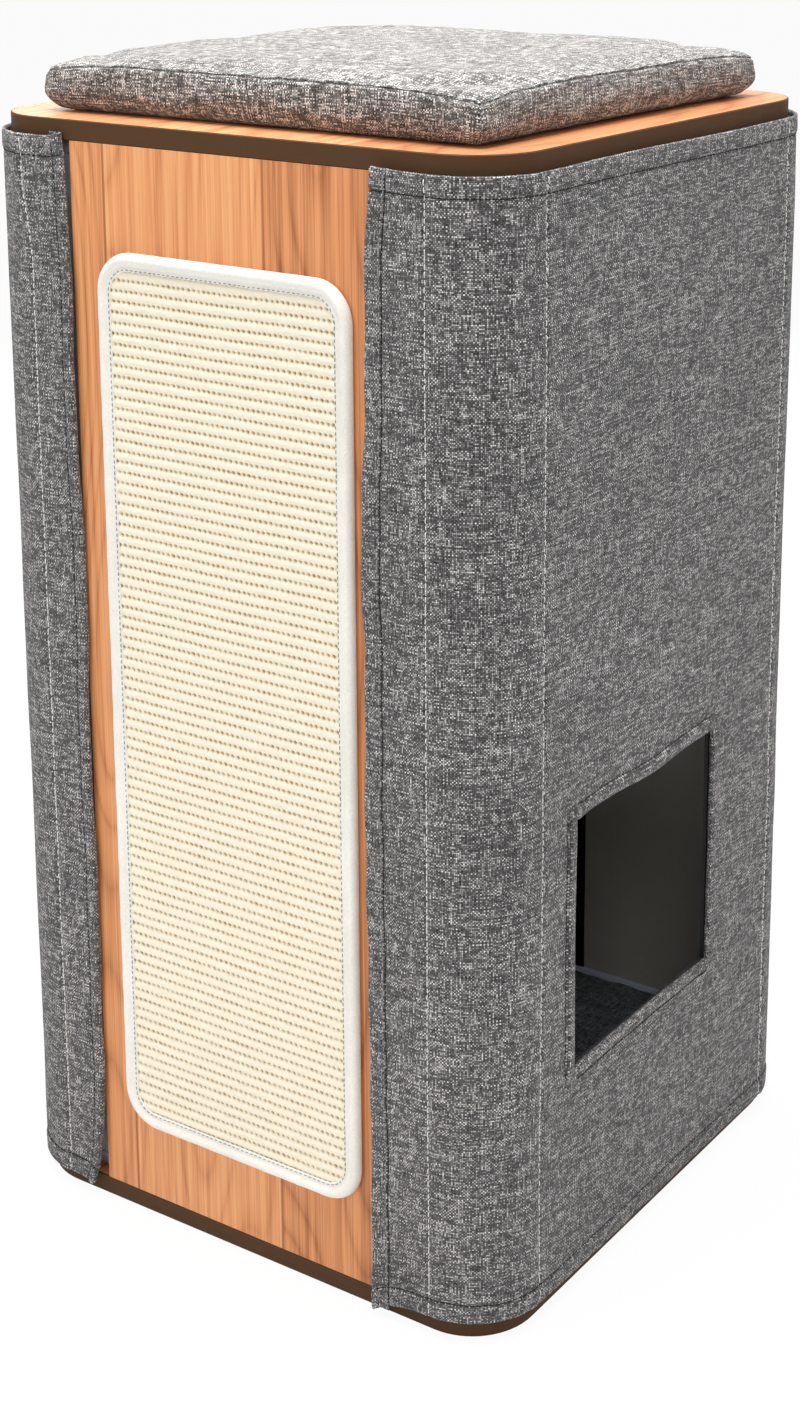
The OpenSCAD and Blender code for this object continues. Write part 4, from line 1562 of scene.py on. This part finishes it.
    def dress(self, shape: Array) -> Array:
        """Draws in the seams, puckers the cloth beside them and keeps the bottom on what carries it.

        Args:
            shape: the points.

        Returns:
            The same points, moved.
        """
        x, y, z = shape.T
        high = smooth_step(self.rests_at + 0.4 * self.thick, self.rests_at + 0.95 * self.thick, z)
        wave = soft_noise(x / 46.0, y / 46.0, 14.5) + 0.5 * soft_noise(x / 17.0, y / 17.0, 3.5)
        inside = self.half - np.maximum(np.abs(x), np.abs(y))
        run = np.where(np.abs(x) > np.abs(y), y, x)
        pucker = np.sin(run / 2.4 + 3.0 * np.sin(run / 21.0)) * bell(inside - 6.0, 5.0)
        shape[:, 2] += high * (0.6 * wave + 0.35 * pucker + 0.4 * bell(inside - 6.5, 4.0))
        lower, upper = self.seam_rows
        for rows, depth, drop in ((upper, 2.2, 0.8), (lower, 0.5, 0.0)):
            out = shape[rows, :2] / np.linalg.norm(shape[rows, :2], axis=1, keepdims=True)
            shape[rows, :2] -= out * depth
            shape[rows, 2] -= drop
        shape[:, 2] = np.maximum(shape[:, 2], self.rests_at)
        return shape

    def build(self, material: Material) -> list[Piece]:
        """Makes the cushion.

        Args:
            material: its cloth.

        Returns:
            The cushion.
        """
        shape, faces, uvs, sewn = self.form()
        shape[:, 2] += self.rests_at
        piece = mesh_object(self.name, shape, faces, uvs)
        piece.vertex_groups.new(name="sewn").add(np.nonzero(sewn)[0].tolist(), 1.0, "REPLACE")
        shape = self.fill_up(piece, shape)
        piece.data.vertices.foreach_set("co", (self.dress(shape) * MM).ravel())
        piece.vertex_groups.clear()
        finish_with(piece, "SUBSURF", levels=2, render_levels=2)
        piece.data.shade_smooth()
        piece.data.update()
        fit(piece, material, self.nodes, self.body)
        return [piece]


@dataclass
class Carcass:
    """The boards, panels, stiffeners and fittings, which keep their CAD shapes."""

    def build(self, palette: Palette) -> list[Piece]:
        """Gives each node its finish.

        Args:
            palette: the finishes.

        Returns:
            The nodes.
        """
        by_start = {
            "base_edge_band": palette.band,
            "top_edge_band": palette.band,
            "base_board": palette.board,
            "top_board": palette.board,
            "front_panel": palette.panel,
            "back_panel": palette.panel,
            "wood_dowels": palette.beech,
            "cam_bolts": palette.steel,
            "cam_locks": palette.zinc,
            "stiffener": palette.sheet,
            "mat_backing": palette.latex,
        }
        done = []
        for name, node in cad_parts.items():
            for start, finish in by_start.items():
                if name.startswith(start):
                    paint(node, finish.material())
                    done.append(node)
        return done


@dataclass
class Studio:
    """The camera at the photograph's view, soft light and a pale floor."""

    place: Place = (0.8122, -1.1462, 0.8423)
    azimuth: float = 33.222
    elevation: float = 13.223
    roll: float = 0.184
    lens: float = 58.6
    shift: tuple[float, float] = (-0.0668, -0.2351)
    sky: float = 0.34
    floor_white: float = 0.94

    # Soft boxes: name, place, what it points at, side and watts.
    LAMPS: ClassVar[list[tuple[str, Place, Place, float, float]]] = [
        ("lamp_over", (0.0, -0.1, 2.3), (0.0, 0.0, 0.6), 1.5, 80.0),
        ("lamp_front", (-0.5, -2.0, 1.2), (0.0, 0.0, 0.35), 1.3, 8.0),
        ("lamp_right", (2.0, -0.4, 1.1), (0.0, 0.0, 0.3), 1.3, 4.0),
        ("lamp_view", (1.2, -1.5, 1.9), (0.0, 0.0, 0.3), 0.8, 6.0),
        ("lamp_back", (-1.5, 1.7, 1.0), (0.0, 0.0, 0.35), 1.3, 15.0),
    ]

    def build(self) -> None:
        """Sets up the stage."""
        self.camera()
        self.floor()
        self.world()
        for name, place, aim, size, power in self.LAMPS:
            bpy.ops.object.light_add(type="AREA", location=place)
            lamp = bpy.context.object
            lamp.name = name
            lamp.data.shape, lamp.data.size, lamp.data.energy = "SQUARE", size, power
            lamp.rotation_euler = (Vector(aim) - Vector(place)).to_track_quat("-Z", "Y").to_euler()

    def camera(self) -> None:
        """Adds the camera."""
        a, e, r = (math.radians(v) for v in (self.azimuth, self.elevation, self.roll))
        back = Vector((math.sin(a) * math.cos(e), -math.cos(a) * math.cos(e), math.sin(e)))
        right = (-back).cross(Vector((0, 0, 1))).normalized()
        up = right.cross(-back)
        tilted = right * math.cos(r) + up * math.sin(r)
        above = up * math.cos(r) - right * math.sin(r)
        bpy.ops.object.camera_add()
        camera = bpy.context.object
        camera.matrix_world = Matrix.Translation(self.place) @ Matrix((tilted, above, back)).transposed().to_4x4()
        camera.data.lens = self.lens
        camera.data.sensor_width = 36.0
        camera.data.shift_x, camera.data.shift_y = self.shift
        camera.data.clip_start = 0.01
        bpy.context.scene.camera = camera

    @staticmethod
    def backdrop(tree: Tree, lit: Node, white: str, end: str, share: float) -> None:
        """Shows white instead of a lit shader to rays that see it straight, mirrored or through glass.

        Args:
            tree: the shader tree.
            lit: the shader that gives the light or takes the shadow.
            white: the kind of node that is white.
            end: the tree's output node.
            share: how much of the white shows.
        """
        desk = Bench(tree)
        ray = desk.node("LightPath").outputs
        seen = desk.math("MAXIMUM", ray["Is Camera Ray"], ray["Is Glossy Ray"])
        seen = desk.math("MULTIPLY", desk.math("MAXIMUM", seen, ray["Is Transmission Ray"]), share)
        glow = desk.node(white, Color=WHITE, Strength=1.0)
        both = desk.node("MixShader", seen, lit.outputs[0], glow.outputs[0])
        desk.fill(tree.nodes[end], Surface=both.outputs[0])

    def floor(self) -> None:
        """Adds the floor, white to the camera and with the object's soft shadow on it."""
        bpy.ops.mesh.primitive_plane_add(size=24.0, location=(0.0, 0.0, -0.0005))
        plane = bpy.context.object
        plane.name = "floor"
        made = bpy.data.materials.new("floor_white")
        made.use_nodes = True
        tree = made.node_tree
        shader = tree.nodes["Principled BSDF"]
        Bench(tree).fill(shader, Base_Color=(0.86, 0.86, 0.86, 1.0), Roughness=0.9, Specular_IOR_Level=0.0)
        self.backdrop(tree, shader, "Emission", "Material Output", self.floor_white)
        paint(plane, made)

    def world(self) -> None:
        """Lights all round softly, and is white behind the object."""
        sky = bpy.data.worlds.new("studio")
        sky.use_nodes = True
        bpy.context.scene.world = sky
        light = Bench(sky.node_tree).fill(sky.node_tree.nodes["Background"], Color=WHITE, Strength=self.sky)
        self.backdrop(sky.node_tree, light, "Background", "World Output", 1.0)
        bpy.context.scene.view_settings.view_transform = "Standard"


def main() -> None:
    """Builds the condo piece by piece, then logs each piece's face count."""
    logging.basicConfig(level=logging.INFO, format="%(name)s: %(message)s")
    bpy.ops.object.select_all(action="DESELECT")
    palette = Palette()
    Studio().build()
    pieces = Carcass().build(palette)
    for assembly in (Sleeve(), Lining(), ScratchMat()):
        pieces += assembly.build(palette)
    top = Cushion(
        "top_cushion_pad", "top_cushion", ("top_cushion_cover", "top_cushion_foam"), "top_cushion_cloth",
        rests_at=683.3, half=156.0, thick=30.0, fill=0.75,
    )
    floor = Cushion(
        "floor_cushion_pad", "floor_cushion", ("floor_cushion_cover", "floor_cushion_foam"), "floor_cushion_cloth",
        rests_at=12.3, half=164.0, thick=36.0, fill=0.7,
    )
    pieces += top.build(palette.cushion.material())
    pieces += floor.build(palette.charcoal.material())
    for piece in pieces:
        log.info("%s: %d faces", piece.name, len(piece.data.polygons))


if __name__ == "__main__":
    main()
